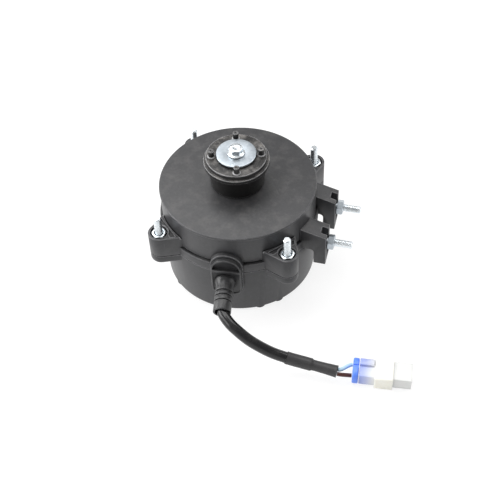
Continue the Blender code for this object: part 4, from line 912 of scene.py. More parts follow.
class Palette:
    """Every finish of the motor, built once and kept by the record's slot name."""

    # In these finishes the dust amount adds dust that also paints a lighter sheen on upward faces, the edge
    # amounts paint highlights on outer edges and shade in creases and hollows, and the edge colour is that
    # of the painted highlight
    FINISHES: dict[str, Finish] = {
        "housing_plastic": Finish(
            "filled housing plastic", (0.03, 0.03, 0.032), (0.041, 0.041, 0.044), 0.4, 0.1,
            dust_and_sheen=0.1, scuffs=0.25, edge_highlight=0.7, painted_shade=0.9,
        ),
        # The large dust amount is partly dust and partly painted sheen that lightens the hub's top; the
        # pale edge colour paints crisp rim highlights
        "hub_plastic": Finish(
            "glossy hub plastic", (0.004, 0.004, 0.004), (0.009, 0.008, 0.008), 0.35, 0.12,
            depth=0.000006, dust_and_sheen=0.65, scuffs=0.3, edge_highlight=1.0, painted_shade=0.7, edge=(0.5, 0.5, 0.51),
            edge_reach=0.0005,
        ),
        "black_rubber": Finish(
            "moulded rubber", (0.018, 0.018, 0.019), (0.028, 0.028, 0.03), 0.31, 0.12,
            grain=Grain.RUBBER, dust_and_sheen=0.1, edge_highlight=0.3, painted_shade=0.9, edge_reach=0.0004, crease_reach=0.003,
        ),
        "bright_zinc": Finish(
            "bright zinc plating", (0.84, 0.88, 0.9), (0.78, 0.83, 0.87), 0.27, 0.08,
            1.0, Grain.PLATED, 700.0, 0.000006,
        ),
        "rolled_zinc": Finish(
            "rolled zinc sheet", (0.48, 0.52, 0.555), (0.41, 0.455, 0.495), 0.34, 0.08,
            1.0, Grain.PLATED, 900.0, 0.000004,
        ),
        "bearing_steel": Finish(
            "ground bearing steel", (0.55, 0.56, 0.57), (0.48, 0.49, 0.5), 0.22, 0.1,
            1.0, Grain.LAYERED, pitch=0.12,
        ),
        "lamination_steel": Finish(
            "stacked steel sheets", (0.3, 0.31, 0.33), (0.1, 0.1, 0.11), 0.45, 0.12,
            1.0, Grain.LAYERED, pitch=0.5,
        ),
        "enamelled_copper": Finish(
            "wound enamelled wire", (0.62, 0.24, 0.08), (0.2, 0.06, 0.02), 0.28, 0.1,
            1.0, Grain.WOUND, pitch=0.45,
        ),
        "magnet_ferrite": Finish(
            "pressed ferrite", (0.05, 0.05, 0.055), (0.085, 0.083, 0.08), 0.55, 0.12,
            0.3, grain_scale=600.0,
        ),
        "insulator_nylon": Finish(
            "insulator nylon", (0.56, 0.53, 0.45), (0.62, 0.6, 0.53), 0.45, 0.1
        ),
        "circuit_board_green": Finish(
            "solder mask", (0.015, 0.11, 0.04), (0.03, 0.2, 0.07), 0.3, 0.08, grain=Grain.BOARD
        ),
        "component_case": Finish(
            "component case", (0.014, 0.014, 0.016), (0.028, 0.028, 0.03), 0.42, 0.1
        ),
        "capacitor_sleeve": Finish(
            "capacitor film", (0.02, 0.03, 0.09), (0.035, 0.05, 0.14), 0.28, 0.08, coat=0.3
        ),
        "cable_jacket": Finish(
            "glossy cable sheath", (0.006, 0.006, 0.007), (0.01, 0.01, 0.011), 0.2, 0.08,
            grain_scale=1500.0, depth=0.000008, dust_and_sheen=0.05,
        ),
        "shrink_sleeve": Finish(
            "shrunk tube", (0.024, 0.023, 0.024), (0.04, 0.039, 0.04), 0.48, 0.12,
            grain=Grain.WRINKLED, depth=0.00006,
        ),
        "brown_wire_skin": Finish(
            "brown wire skin", (0.09, 0.022, 0.014), (0.06, 0.014, 0.01), 0.32, 0.08
        ),
        "blue_wire_skin": Finish(
            "light blue wire skin", (0.55, 0.78, 0.92), (0.62, 0.84, 0.95), 0.32, 0.08
        ),
        "blue_nylon": Finish("blue nylon", (0.1, 0.24, 0.93), (0.14, 0.3, 0.96), 0.3, 0.1),
        # Its blue is painted blue light cast from the blue retainer, fading along X into the nylon's own
        # near-white
        "clear_nylon": Finish(
            "clear nylon with painted blue light", (0.4, 0.48, 0.93), (0.48, 0.56, 0.96), 0.24, 0.08,
            clear=0.25, fade=(0.079, 0.087),
        ),
        "ivory_nylon": Finish("ivory nylon", (0.98, 0.96, 0.86), (0.99, 0.98, 0.91), 0.36, 0.1),
        "tinned_brass": Finish(
            "tinned contact", (0.72, 0.7, 0.62), (0.62, 0.6, 0.52), 0.28, 0.1,
            1.0, Grain.PLATED, 900.0, 0.000004,
        ),
    }

    def __init__(self) -> None:
        """Builds the shared effects and every finish."""
        effects = SharedEffects()
        self.made = {slot: finish.build(effects) for slot, finish in self.FINISHES.items()}

    def __getitem__(self, slot: str) -> bpy.types.Material:
        """The material of one slot."""
        return self.made[slot]

    def dress_solids(self) -> None:
        """Gives every solid that stays in view the finish of its record slot."""
        for entry in frame["record"]["subparts"]:
            solid = frame["nodes"][entry["node"]]
            solid.data.materials.clear()
            solid.data.materials.append(self.made[entry["material_slot"]])
            solid.data.shade_smooth()
            solid.data.set_sharp_from_angle(angle=SMOOTH_ANGLE)


# The motor's parts


@dataclass
class LugLayout:
    """The four bolt lugs and where they stand."""

    circle: float = 47.625
    nose: float = 5.75
    flare: float = 24.0
    top: float = 46.2
    bottom: float = 28.0
    pocket: float = 4.4
    pocket_floor: float = 42.6
    bolt_hole: float = 2.3
    rim: float = 1.1
    hollow_start: float = 1.3
    hollow_reach: float = 44.6
    hollow_depth: float = 0.6
    lead: float = 0.25
    facets: int = 48
    names: tuple[str, ...] = ("back_right", "back_left", "front_left", "front_right")

    def angle(self, index: int) -> float:
        """Azimuth of one lug."""
        return 45.0 + 90.0 * index

    def outline(self, inner: float, inset: float = 0.0) -> list[Point2]:
        """A lug seen from above.

        Args:
            inner: Where its inner end lies along the local X axis.
            inset: How far the outline is drawn in.

        Returns:
            The outline's points.
        """
        tangent = 90.0 - self.flare
        nose = arc((self.circle, 0.0), self.nose - inset, -tangent, tangent, 29)
        tip_x, tip_y = nose[-1]
        wide = tip_y + (tip_x - inner) * math.tan(math.radians(self.flare))
        return nose + [(inner, wide), (inner, -wide)]

    def hollow(self, wall: float) -> Form:
        """The sunk field on a front lug, between the bolt's pocket and the body.

        Args:
            wall: Radius of the body's wall.

        Returns:
            The form to cut away.
        """
        inner = wall + self.hollow_start
        rough = self.outline(inner, self.rim)
        (tip_x, tip_y), (_, wide) = rough[-3], rough[-2]
        side = tip_y + (tip_x - self.hollow_reach) * math.tan(math.radians(self.flare))
        curve = arc((self.circle, 0.0), self.nose - self.rim / 2, 230.0, 130.0, 19)
        outline = [
            (inner, -wide),
            (self.hollow_reach, -side),
            *curve,
            (self.hollow_reach, side),
            (inner, wide),
        ]
        return Form.slab(outline, self.top - self.hollow_depth, self.top + 1.0)

    def seat(self, mouth: float, floor: float, end: float) -> Form:
        """A pocket for a nut or head with the bolt's hole beyond it.

        Args:
            mouth: Height of the pocket's open end, a little beyond the lug.
            floor: Height of the pocket's floor.
            end: Height of the hole's far end, a little beyond the lug.

        Returns:
            The form to cut away.
        """
        ease = self.lead if mouth > floor else -self.lead
        lip = self.top if mouth > floor else self.bottom
        section = [
            (0.0, mouth),
            (self.pocket + self.lead, mouth),
            (self.pocket + self.lead, lip),
            (self.pocket, lip - ease),
            (self.pocket, floor),
            (self.bolt_hole, floor),
            (self.bolt_hole, end),
            (0.0, end),
        ]
        if mouth < floor:
            section.reverse()
        return Form.turned(section, self.facets)


@dataclass
class GrommetSeat:
    """Where the cable grommet and its raised frame sit; heights count from the seam."""

    angle: float = -84.5
    height: float = 33.2
    face: float = 43.2
    half_width: float = 7.8
    top: float = 12.5
    bottom: float = -13.7
    corner: float = 4.4
    margin: float = 0.6
    hood: float = 0.9
    root: float = 38.9
    hole: float = 5.6

    def frame(self) -> Matrix:
        """The frame on the wall, local Z outwards."""
        return outwards(self.angle, 0.0, self.height)

    def outline(self, grow: float = 0.0, hood: float = 0.0) -> list[Point2]:
        """The flange's outline: a round arch above, small corners below.

        Args:
            grow: How far the outline moves out on every side.
            hood: How much higher the arch reaches.

        Returns:
            The outline's points.
        """
        half = self.half_width + grow
        low = self.bottom - grow
        corner = self.corner + grow
        arch = arc((0.0, self.top + grow + hood - half), half, 0.0, 180.0, 37)
        left = arc((corner - half, low + corner), corner, 180.0, 270.0, 10)
        right = arc((half - corner, low + corner), corner, 270.0, 360.0, 10)
        return arch + left + right

    def boss(self, side: Side, seam: float) -> Form:
        """The half of the raised frame above or below the seam.

        Args:
            side: The shell that the half belongs to.
            seam: Height of that shell's end at the seam.

        Returns:
            The half frame.
        """
        form = Form.slab(self.outline(self.margin, self.hood), self.root, self.face)
        form.rounded(0.25, 2, lambda middle: middle.z > self.face - NEAR)
        form.placed(self.frame())
        low, high = (-5, seam) if side is Side.FRONT else (seam, 80)
        return form.cut(Form.block((-40, -60, low), (40, -20, high)))

    def opening(self) -> Form:
        """The round hole for the grommet's plug."""
        return Form.rod(self.hole, 30.0, 50.0, 48).placed(self.frame())


@dataclass
class Housing:
    """The two moulded shells."""

    lugs: LugLayout
    grommet: GrommetSeat
    wall: float = 40.8
    face: float = 41.1
    top: float = 57.5
    ledge: float = 42.2
    ledge_top: float = 38.7
    front_end: float = 33.35
    rear_end: float = 33.05
    bore: float = 9.3
    collar: float = 11.3
    collar_top: float = 60.3
    bearing_wall: float = 13.6
    inner: float = 38.4
    face_inner: float = 55.4
    claw_places: tuple[float, float] = (12.7, -12.7)
    claw_width: float = 10.4
    claw_face: float = 50.6
    claw_back: float = 44.2
    claw_bottom: float = 23.5
    claw_nose: float = 43.3
    claw_root: float = 37.0
    claw_slope: float = 0.295
    slot_start: float = 47.2
    slot_floor: float = 26.0
    slot_half: float = 2.3
    head_pocket: float = 3.8
    bolt_height: float = 36.0
    post_circle: float = 31.8
    post: float = 3.0
    post_bore: float = 1.5
    base: float = 40.5
    foot_radius: float = 3.4
    extra_foot: float = -61.0
    recess_starts: tuple[float, float] = (16.6, 25.1)
    recess_length: float = 5.5
    recess_half: float = 19.0
    steps: int = 160

    def front_section(self) -> list[Point2]:
        """Section of the front shell, rounded at every edge.

        Returns:
            The section's points.
        """
        return softened(
            [
                (self.bore, self.collar_top, 0.2),
                (self.collar, self.collar_top, 0.3),
                (self.collar, self.top, 0.3),
                (self.face, self.top, 0.6),
                (self.face, 56.2, 0.12),
                (self.wall, 55.7, 0.2),
                (self.wall, self.ledge_top + 1.0, 0.1),
                (self.wall - 0.6, self.ledge_top + 0.8, 0.1),
                (self.wall - 0.6, self.ledge_top, 0.1),
                (self.ledge, self.ledge_top, 0.5),
                (self.ledge, self.front_end, 0.2),
                (self.inner, self.front_end, 0.2),
                (self.inner, self.face_inner, 0.8),
                (self.bearing_wall, self.face_inner, 0.5),
                (self.bearing_wall, 47.7, 0.3),
                (self.collar, 47.7, 0.3),
                (self.collar, 55.3, 0.1),
                (self.bore, 55.3, 0.1),
            ]
        )

    def front_lug(self, index: int) -> Form:
        """One front lug with its hollow, nut pocket and hole.

        Args:
            index: Which of the four lugs.

        Returns:
            The lug.
        """
        lugs = self.lugs
        form = Form.slab(lugs.outline(self.wall - 2.1), self.front_end, lugs.top)
        form.rounded(0.35, 2, lambda middle: not self.front_end + NEAR <= middle.z <= lugs.top - NEAR)
        near, far, low, high = self.wall - 1.0, self.wall + 0.5, 45.1, 49.0
        slit = Form.turned([(far, high), (far, low), (near, low), (near, high)], self.steps, ring=True)
        at = spin(lugs.angle(index))
        form.placed(at).cut(slit)
        seat = lugs.seat(lugs.top + 1.0, lugs.pocket_floor, self.front_end - 1.0)
        return form.cut(lugs.hollow(self.wall).placed(at), seat.placed(at @ shift(lugs.circle, 0, 0)))

    def claw(self, offset: float) -> Form:
        """One bracket claw with its open slot and head pocket.

        Args:
            offset: Where its middle lies along Y.

        Returns:
            The claw.
        """
        under = self.front_end + 0.1
        top = self.claw_nose + (self.claw_face - self.claw_root) * self.claw_slope
        section = softened(
            [
                (self.claw_root, top, 0.0),
                (self.claw_root, under, 0.0),
                (self.claw_back, under, 2.4),
                (self.claw_back, self.claw_bottom, 0.3),
                (self.claw_face, self.claw_bottom, 0.3),
                (self.claw_face, self.claw_nose, 0.3),
            ],
            facets=7,
        )
        half = self.claw_width / 2
        form = Form.slab(section, -half, half)
        form.rounded(0.3, 2, lambda middle: abs(middle.z) > half - NEAR)
        form.placed(shift(0, offset, 0) @ Matrix.Rotation(math.pi / 2, 4, "X"))
        form.cut(Form.rod(39.6, 10.0, 60.0, self.steps))
        start, floor = self.slot_start, self.slot_floor
        sides = (offset - self.slot_half, offset + self.slot_half)
        slot = Form.block((start, sides[0], floor), (52.0, sides[1], 50.0))
        slot.rounded(0.35, 2, lambda at: abs(at.x - start) < TOUCHING or abs(at.z - floor) < TOUCHING)
        along = shift(0, offset, self.bolt_height) @ Matrix.Rotation(math.pi / 2, 4, "Y")
        pocket = Form.slab(hexagon_outline(self.head_pocket), 43.0, 47.3).placed(along)
        return form.cut(slot, pocket)

    def posts(self) -> Form:
        """The three posts under the face that carry the circuit board.

        Returns:
            The posts in one form.
        """
        made = Form()
        near, far, low, high = self.post_bore, self.post, 41.9, 55.9
        section = softened([(near, high, 0), (far, high, 0), (far, low, 0.2), (near, low, 0.2)])
        for index in range(3):
            at = spin(90.0 + 120.0 * index) @ shift(self.post_circle, 0, 0)
            made.beside(Form.turned(section, 24, ring=True).placed(at))
        return made

    def front(self) -> Form:
        """Builds the whole front housing.

        Returns:
            The front housing.
        """
        form = Form.turned(self.front_section(), self.steps, ring=True)
        form.joined(self.grommet.boss(Side.FRONT, self.front_end))
        form.cut(self.grommet.opening())
        for index in range(len(self.lugs.names)):
            form.joined(self.front_lug(index))
        for offset in self.claw_places:
            form.joined(self.claw(offset))
        return form.beside(self.posts())

    def rear_section(self) -> list[Point2]:
        """Section of the rear shell: inner side, seam with the gasket's groove, tapered wall, base.

        Returns:
            The section's points.
        """
        return softened(
            [
                (0.0, 2.6, 0.0),
                (33.5, 2.6, 0.6),
                (33.5, 11.7, 0.2),
                (37.5, 11.7, 0.2),
                (37.5, 26.3, 0.2),
                (38.9, 27.7, 0.2),
                (38.9, self.rear_end, 0.2),
                (39.9, self.rear_end, 0.1),
                (39.9, 31.6, 0.1),
                (41.1, 31.6, 0.1),
                (41.1, self.rear_end, 0.1),
                (self.ledge, self.rear_end, 0.25),
                (self.base, 1.3, 1.4),
                (39.2, 0.0, 0.9),
                (0.0, 0.0, 0.0),
            ],
            closed=False,
        )

    def foot(self) -> Form:
        """One of the small round feet at the rim of the base.

        Returns:
            The foot, at azimuth 0.
        """
        reach = self.foot_radius
        corners = [(0.0, 2.4, 0.0), (reach, 2.4, 0.0), (reach, 0.0, 0.5), (0.0, 0.0, 0.0)]
        form = Form.turned(softened(corners, closed=False), 40)
        return form.placed(shift(self.base + 0.1 - reach, 0, 0))

    def rear_lug(self, index: int) -> Form:
        """One rear lug with the pocket for the bolt's head.

        Args:
            index: Which of the four lugs.

        Returns:
            The lug.
        """
        lugs = self.lugs
        form = Form.slab(lugs.outline(self.wall - 1.0), lugs.bottom, self.rear_end)
        form.rounded(1.3, 4, lambda middle: middle.z < lugs.bottom + NEAR and middle.x > self.wall)
        form.rounded(0.2, 2, lambda middle: middle.z > self.rear_end - NEAR and middle.x > self.wall)
        at = spin(lugs.angle(index))
        seat = lugs.seat(lugs.bottom - 1.0, 31.1, self.rear_end + 1.0)
        return form.placed(at).cut(seat.placed(at @ shift(lugs.circle, 0, 0)))

    def rear(self) -> Form:
        """Builds the whole rear housing.

        Returns:
            The rear housing.
        """
        form = Form.turned(self.rear_section(), self.steps)
        form.joined(self.grommet.boss(Side.REAR, self.rear_end))
        lug_angles = [self.lugs.angle(index) for index in range(len(self.lugs.names))]
        for angle in (*lug_angles, self.extra_foot):
            form.joined(self.foot().placed(spin(angle)))
        form.cut(self.grommet.opening())
        half = self.recess_half
        for side in (0.0, 180.0):
            for start in self.recess_starts:
                recess = Form.block((start, -half, -1.0), (start + self.recess_length, half, 1.5))
                recess.rounded(0.8, 3, lambda middle: middle.z > -0.5)
                form.cut(recess.placed(spin(side)))
        seat = [
            (self.collar, 11.0, 0.3),
            (self.bearing_wall, 11.0, 0.4),
            (self.bearing_wall, 2.1, 0),
            (self.bore, 2.1, 0),
            (self.bore, 3.6, 0.1),
            (self.collar, 3.6, 0.1),
        ]
        form.beside(Form.turned(softened(seat), 96, ring=True))
        for index in range(len(self.lugs.names)):
            form.joined(self.rear_lug(index))
        return form

    def place(self, placer: Placer) -> None:
        """Builds and dresses both shells."""
        placer.piece("front_shell", self.front(), "housing_plastic", ["front_housing"])
        placer.piece("rear_shell", self.rear(), "housing_plastic", ["rear_housing"])


@dataclass
class Fastener:
    """A threaded stud with a hexagon head, and the nut that fits it."""

    radius: float = 2.0
    pitch: float = 0.7
    thread_depth: float = 0.15
    across_flats: float = 7.0
    head: float = 2.8
    nut: float = 3.2
    facets: int = 28
    nut_turns: tuple[float, ...] = (11.0, 41.0, 29.0, 3.0)
    through_tip: float = 56.6
    through_thread: float = 12.5
    lug_nut_seat: float = 42.9
    bracket_seat: float = 46.9
    bracket_tip: float = 63.6
    bracket_thread: float = 3.4
    bracket_height: float = 36.0
    claw_nut_seat: float = 50.9
    bracket_places: tuple[tuple[str, float], ...] = (("back", 12.7), ("front", -12.7))

    def thread(self, radius: float, low: float, high: float) -> Form:
        """A rod with a helical thread.

        Args:
            radius: The thread's outer radius.
            low: Where the thread starts.
            high: Where it ends.

        Returns:
            A closed form whose top end is chamfered.
        """
        form = Form()
        work = form.mesh
        rows = []
        per_turn, crest, chamfer, slope = 6, 1.4, 0.6, 0.9
        count = int((high - low) / self.pitch * per_turn)
        for row in range(count + 1):
            height = low + (high - low) * row / count
            line = []
            for step in range(self.facets):
                phase = (height / self.pitch - step / self.facets) % 1.0
                depth = self.thread_depth * (0.5 + 0.5 * math.cos(2 * math.pi * phase)) ** crest
                tip = max(0.0, chamfer - (high - height)) * slope
                here = min(radius - depth, radius - tip)
                angle = 2 * math.pi * step / self.facets
                line.append(work.verts.new((here * math.cos(angle), here * math.sin(angle), height)))
            rows.append(line)
        for lower, upper in zip(rows, rows[1:]):
            for step in range(self.facets):
                after = (step + 1) % self.facets
                work.faces.new((lower[step], lower[after], upper[after], upper[step]))
        work.faces.new(list(reversed(rows[0])))
        work.faces.new(rows[-1])
        return form.tidied()

    def bolt(self, length: float, thread_from: float) -> Form:
        """A bolt whose head lies just below the local origin and whose shank points up.

        Args:
            length: Length from under the head to the tip.
            thread_from: Where the thread starts.

        Returns:
            The bolt.
        """
        form = Form.hexagon(self.across_flats, -self.head, 0.0)
        sunk = 0.3
        form.beside(Form.rod(self.radius - 0.1, -sunk, thread_from + sunk, self.facets))
        return form.beside(self.thread(self.radius, thread_from, length))

    def ring(self) -> Form:
        """A nut that stands on the local origin.

        Returns:
            The nut.
        """
        form = Form.hexagon(self.across_flats, 0.0, self.nut)
        wide, tight, lead, beyond = 2.75, 2.3, 0.45, 1.0
        bore = [
            (0.0, self.nut + beyond),
            (wide, self.nut + beyond),
            (wide, self.nut),
            (tight, self.nut - lead),
            (tight, lead),
            (wide, 0.0),
            (wide, -beyond),
            (0.0, -beyond),
        ]
        return form.cut(Form.turned(bore, 36))

    def place(self, placer: Placer, lugs: LugLayout) -> None:
        """Puts every bolt and nut of the housing in place.

        Args:
            placer: Puts the pieces in the scene.
            lugs: Where the four lugs stand.
        """
        zinc = "bright_zinc"
        for index, name in enumerate(lugs.names):
            around = spin(lugs.angle(index))
            at = around @ shift(lugs.circle, 0, lugs.bottom + self.head)
            length = self.through_tip - lugs.bottom - self.head
            bolt = self.bolt(length, self.through_thread).placed(at)
            placer.piece(f"stud_{name}", bolt, zinc, [f"through_bolt_{name}"])
            seat = around @ shift(lugs.circle, 0, self.lug_nut_seat) @ spin(self.nut_turns[index])
            nut = self.ring().placed(seat)
            placer.piece(f"lug_nut_{name}", nut, zinc, [f"through_nut_{name}"])
        along = Matrix.Rotation(math.pi / 2, 4, "Y")
        for name, offset in self.bracket_places:
            at = shift(self.bracket_seat, offset, self.bracket_height) @ along
            bolt = self.bolt(self.bracket_tip - self.bracket_seat, self.bracket_thread).placed(at)
            placer.piece(f"bracket_stud_{name}", bolt, zinc, [f"bracket_bolt_{name}"])
            nut = self.ring().placed(shift(self.claw_nut_seat, offset, self.bracket_height) @ along)
            stands_for = [f"bracket_nut_{name}"]
            placer.piece(f"claw_nut_{name}", nut, zinc, stands_for, finish="rolled_zinc")


@dataclass
class BladeHub:
    """The turning hub with its nipples, washer and screw."""

    top: float = 75.72
    foot: float = 58.2
    plate: float = 15.64
    rim: float = 16.94
    rim_top: float = 73.36
    skirt: float = 15.8
    skirt_foot: float = 13.5
    nipple_circle: float = 12.7
    nipple: float = 1.525
    nipple_top: float = 79.5
    nipple_turn: float = 15.35
    bore: float = 2.4
    washer: float = 10.3
    washer_seat: float = 0.3
    washer_thick: float = 1.1
    dish: float = 0.25
    screw_seat: float = 1.7
    screw_head: float = 6.35
    screw_top: float = 81.0
    screw_turn: float = 12.0
    flange: float = 4.5
    shank: float = 2.08

    def hub(self) -> Form:
        """The moulded hub with its nipples and inner ribs.

        Returns:
            The hub.
        """
        section = softened(
            [
                (self.bore, self.top - 0.25, 0.1),
                (10.0, self.top - 0.25, 0.1),
                (10.4, self.top - 0.05, 0.1),
                (self.plate, self.top, 0.3),
                (self.plate - 0.1, self.rim_top, 0.25),
                (self.rim, self.rim_top, 0.35),
                (self.rim, self.rim_top - 2.0, 0.3),
                (self.rim - 0.75, self.rim_top - 2.6, 0.5),
                (self.skirt - 0.2, self.rim_top - 3.4, 0.5),
                (self.skirt_foot, self.foot, 0.3),
                (self.skirt_foot - 2.0, self.foot, 0.3),
                (12.8, 70.5, 0.8),
                (8.0, 70.5, 0.4),
                (8.0, 61.2, 0.3),
                (4.3, 61.2, 0.1),
                (4.3, 72.3, 0.1),
                (self.bore, 72.3, 0.1),
            ]
        )
        form = Form.turned(section, 144, ring=True)
        for index in range(4):
            around = spin(self.nipple_turn + 90.0 * index)
            form.beside(self.peg().placed(around @ shift(self.nipple_circle, 0, 0)))
            rib = Form.block((7.5, -0.6, 63.5), (13.2, 0.6, 71.2))
            form.beside(rib.placed(around))
        return form

    def peg(self) -> Form:
        """One nipple with a rounded tip, a small dimple and a flared root.

        Returns:
            The nipple, on the shaft's axis.
        """
        section = softened(
            [
                (0.0, self.nipple_top - 0.35, 0.0),
                (0.55, self.nipple_top - 0.3, 0.1),
                (0.7, self.nipple_top, 0.1),
                (self.nipple, self.nipple_top, 0.55),
                (self.nipple, self.top + 0.3, 0.2),
                (self.nipple + 0.3, self.top - 0.02, 0.1),
                (self.nipple + 0.3, self.top - 0.6, 0.0),
                (0.0, self.top - 0.6, 0.0),
            ],
            closed=False,
        )
        return Form.turned(section, 32)

    def plate_washer(self) -> Form:
        """The washer, a little dished and rolled over at its stamped edge.

        Returns:
            The washer.
        """
        low = self.top + self.washer_seat
        high = low + self.washer_thick
        section = softened(
            [
                (self.bore, high, 0.15),
                (self.washer, high + self.dish, 0.35),
                (self.washer, low + self.dish, 0.12),
                (self.bore, low, 0.1),
            ]
        )
        return Form.turned(section, 128, ring=True)

    def screw(self) -> Form:
        """The blade screw: flange, hexagon head with a shallow dish, and shank.

        Returns:
            The screw.
        """
        seat = self.top + self.screw_seat
        head = Form.hexagon(self.screw_head, seat + 0.4, self.screw_top)
        dish = [(0.0, 82.0, 0), (2.1, 82.0, 0), (1.95, 80.75, 0.2), (0.0, 80.7, 0)]
        head.cut(Form.turned(softened(dish, closed=False), 40)).placed(spin(self.screw_turn))
        flange = softened(
            [
                (0.0, seat + 0.8, 0.0),
                (3.6, seat + 0.8, 0.2),
                (self.flange, seat + 0.35, 0.15),
                (self.flange, seat, 0.1),
                (self.shank, seat, 0.0),
                (self.shank, 61.9, 0.2),
                (0.0, 61.5, 0.0),
            ],
            closed=False,
        )
        return head.beside(Form.turned(flange, 64))

    def place(self, placer: Placer) -> None:
        """Builds and dresses the hub, the washer and the screw.

        Args:
            placer: Puts the pieces in the scene.
        """
        washer, zinc, rotor = self.plate_washer(), "bright_zinc", Body.ROTOR
        placer.piece("hub_moulding", self.hub(), "hub_plastic", ["blade_hub"], rotor)
        placer.piece("hub_washer", washer, zinc, ["blade_washer"], rotor, "rolled_zinc")
        placer.piece("hub_screw", self.screw(), zinc, ["blade_screw"], rotor)


@dataclass
class Grommet:
    """The rubber grommet that holds the cable in the wall."""

    seat: GrommetSeat
    inner_face: float = 43.5
    outer_face: float = 45.3
    rim: float = 0.75
    dish: float = 1.1
    under_dish: float = 0.7
    rib_top: float = 5.2
    rib_thickness: float = 1.3
    rib_rise: float = 0.9
    neck: float = 4.5
    neck_length: float = 18.6
    neck_angle: float = -81.5
    neck_droop: float = 8.0
    neck_shift: float = -0.6
    neck_drop: float = 4.4
    neck_root: float = 0.81
    rings: tuple[float, ...] = (7.4, 10.0, 13.0)
    flare: float = 0.9
    bore: float = 3.9
    bore_depth: float = 3.2

    def neck_frame(self) -> Matrix:
        """The frame at the neck's root, local Z along the neck.

        Returns:
            The frame's matrix.
        """
        height = self.inner_face + self.neck_root
        root = self.seat.frame() @ Vector((self.neck_shift, -self.neck_drop, height))
        droop = Matrix.Rotation(math.radians(self.neck_droop), 4, "X")
        return Matrix.Translation(root) @ outwards(self.neck_angle, 0.0, 0.0) @ droop

    def well(self, depth: float, easing: tuple[float, int], low: float, high: float) -> Form:
        """A hollow in the flange's outer face, kept clear of one band of heights.

        Args:
            depth: The hollow's depth.
            easing: Width and facets of the rounding at its floor.
            low: Where the band that stays solid starts.
            high: Where it ends.

        Returns:
            The form to cut away.
        """
        floor = self.outer_face - depth
        form = Form.slab(self.seat.outline(-self.rim), floor, self.outer_face + 5)
        form.rounded(*easing, lambda middle: middle.z < floor + NEAR)
        return form.cut(Form.block((-20, low, 30), (20, high, 60)))

    def flange(self) -> Form:
        """The flange, dished above and below the rib within a thin raised rim, and its plug.

        Returns:
            The flange and the plug behind it.
        """
        form = Form.slab(self.seat.outline(), self.inner_face, self.outer_face)
        form.rounded(0.3, 3, lambda middle: middle.z > self.outer_face - NEAR)
        above = self.well(self.dish, (0.4, 3), -30, self.rib_top - 0.4)
        below = self.well(self.under_dish, (0.25, 2), self.rib_top - self.rib_thickness + 0.3, 30)
        form.cut(above, below)
        shank, lip, front, step, end = 5.3, 6.2, 43.9, 37.4, 36
        corners = [
            (0, front, 0),
            (shank, front, 0),
            (shank, step, 0.2),
            (lip, step, 0.3),
            (lip, end, 0.3),
            (0, end, 0),
        ]
        return form.beside(Form.turned(softened(corners, closed=False), 48))

    def crossbar(self) -> Form:
        """The rib across the flange.

        Returns:
            The rib.
        """
        half = self.seat.half_width - self.rim + 0.1
        low = (-half, self.rib_top - self.rib_thickness, self.inner_face + 0.3)
        high = (half, self.rib_top, self.outer_face + self.rib_rise)
        return Form.block(low, high).rounded(0.28, 3)

    def tail(self) -> Form:
        """The ringed neck with its flared root and open end.

        Returns:
            The neck in its place.
        """
        end = self.neck_length
        corners: list[Corner] = [
            (self.neck - 0.75, end, 0.0),
            (self.neck + 0.12, end, 0.3),
            (self.neck + 0.1, end - 4.4, 0.0),
        ]
        for middle in reversed(self.rings):
            corners += [
                (self.neck + 0.1, middle + 0.36, 0.2),
                (self.neck - 0.5, middle + 0.14, 0.05),
                (self.neck - 0.5, middle - 0.14, 0.05),
                (self.neck + 0.1, middle - 0.36, 0.2),
            ]
            corners.append((self.neck + 0.16, middle - 1.2, 0.0))
        root = self.rings[0] * 0.8
        steps = 9
        for step in range(1, steps + 1):
            share = step / steps
            corners.append((self.neck + 0.15 + self.flare * share**3, root - (root - 0.9) * share, 0.0))
        corners += [(self.neck + self.flare + 0.2, 0.0, 0.0), (0.0, 0.0, 0.0)]
        floor = end - self.bore_depth
        start = [(0.0, floor), (self.bore - 0.3, floor), (self.bore, floor + 0.3), (self.bore, end - 0.25)]
        section = start + softened(corners, closed=False)
        return Form.turned(section, 80).placed(self.neck_frame())

    def place(self, placer: Placer) -> None:
        """Builds and dresses the grommet."""
        form = self.flange().beside(self.crossbar()).placed(self.seat.frame()).beside(self.tail())
        placer.piece("rubber_grommet", form, "black_rubber", ["cable_grommet"])


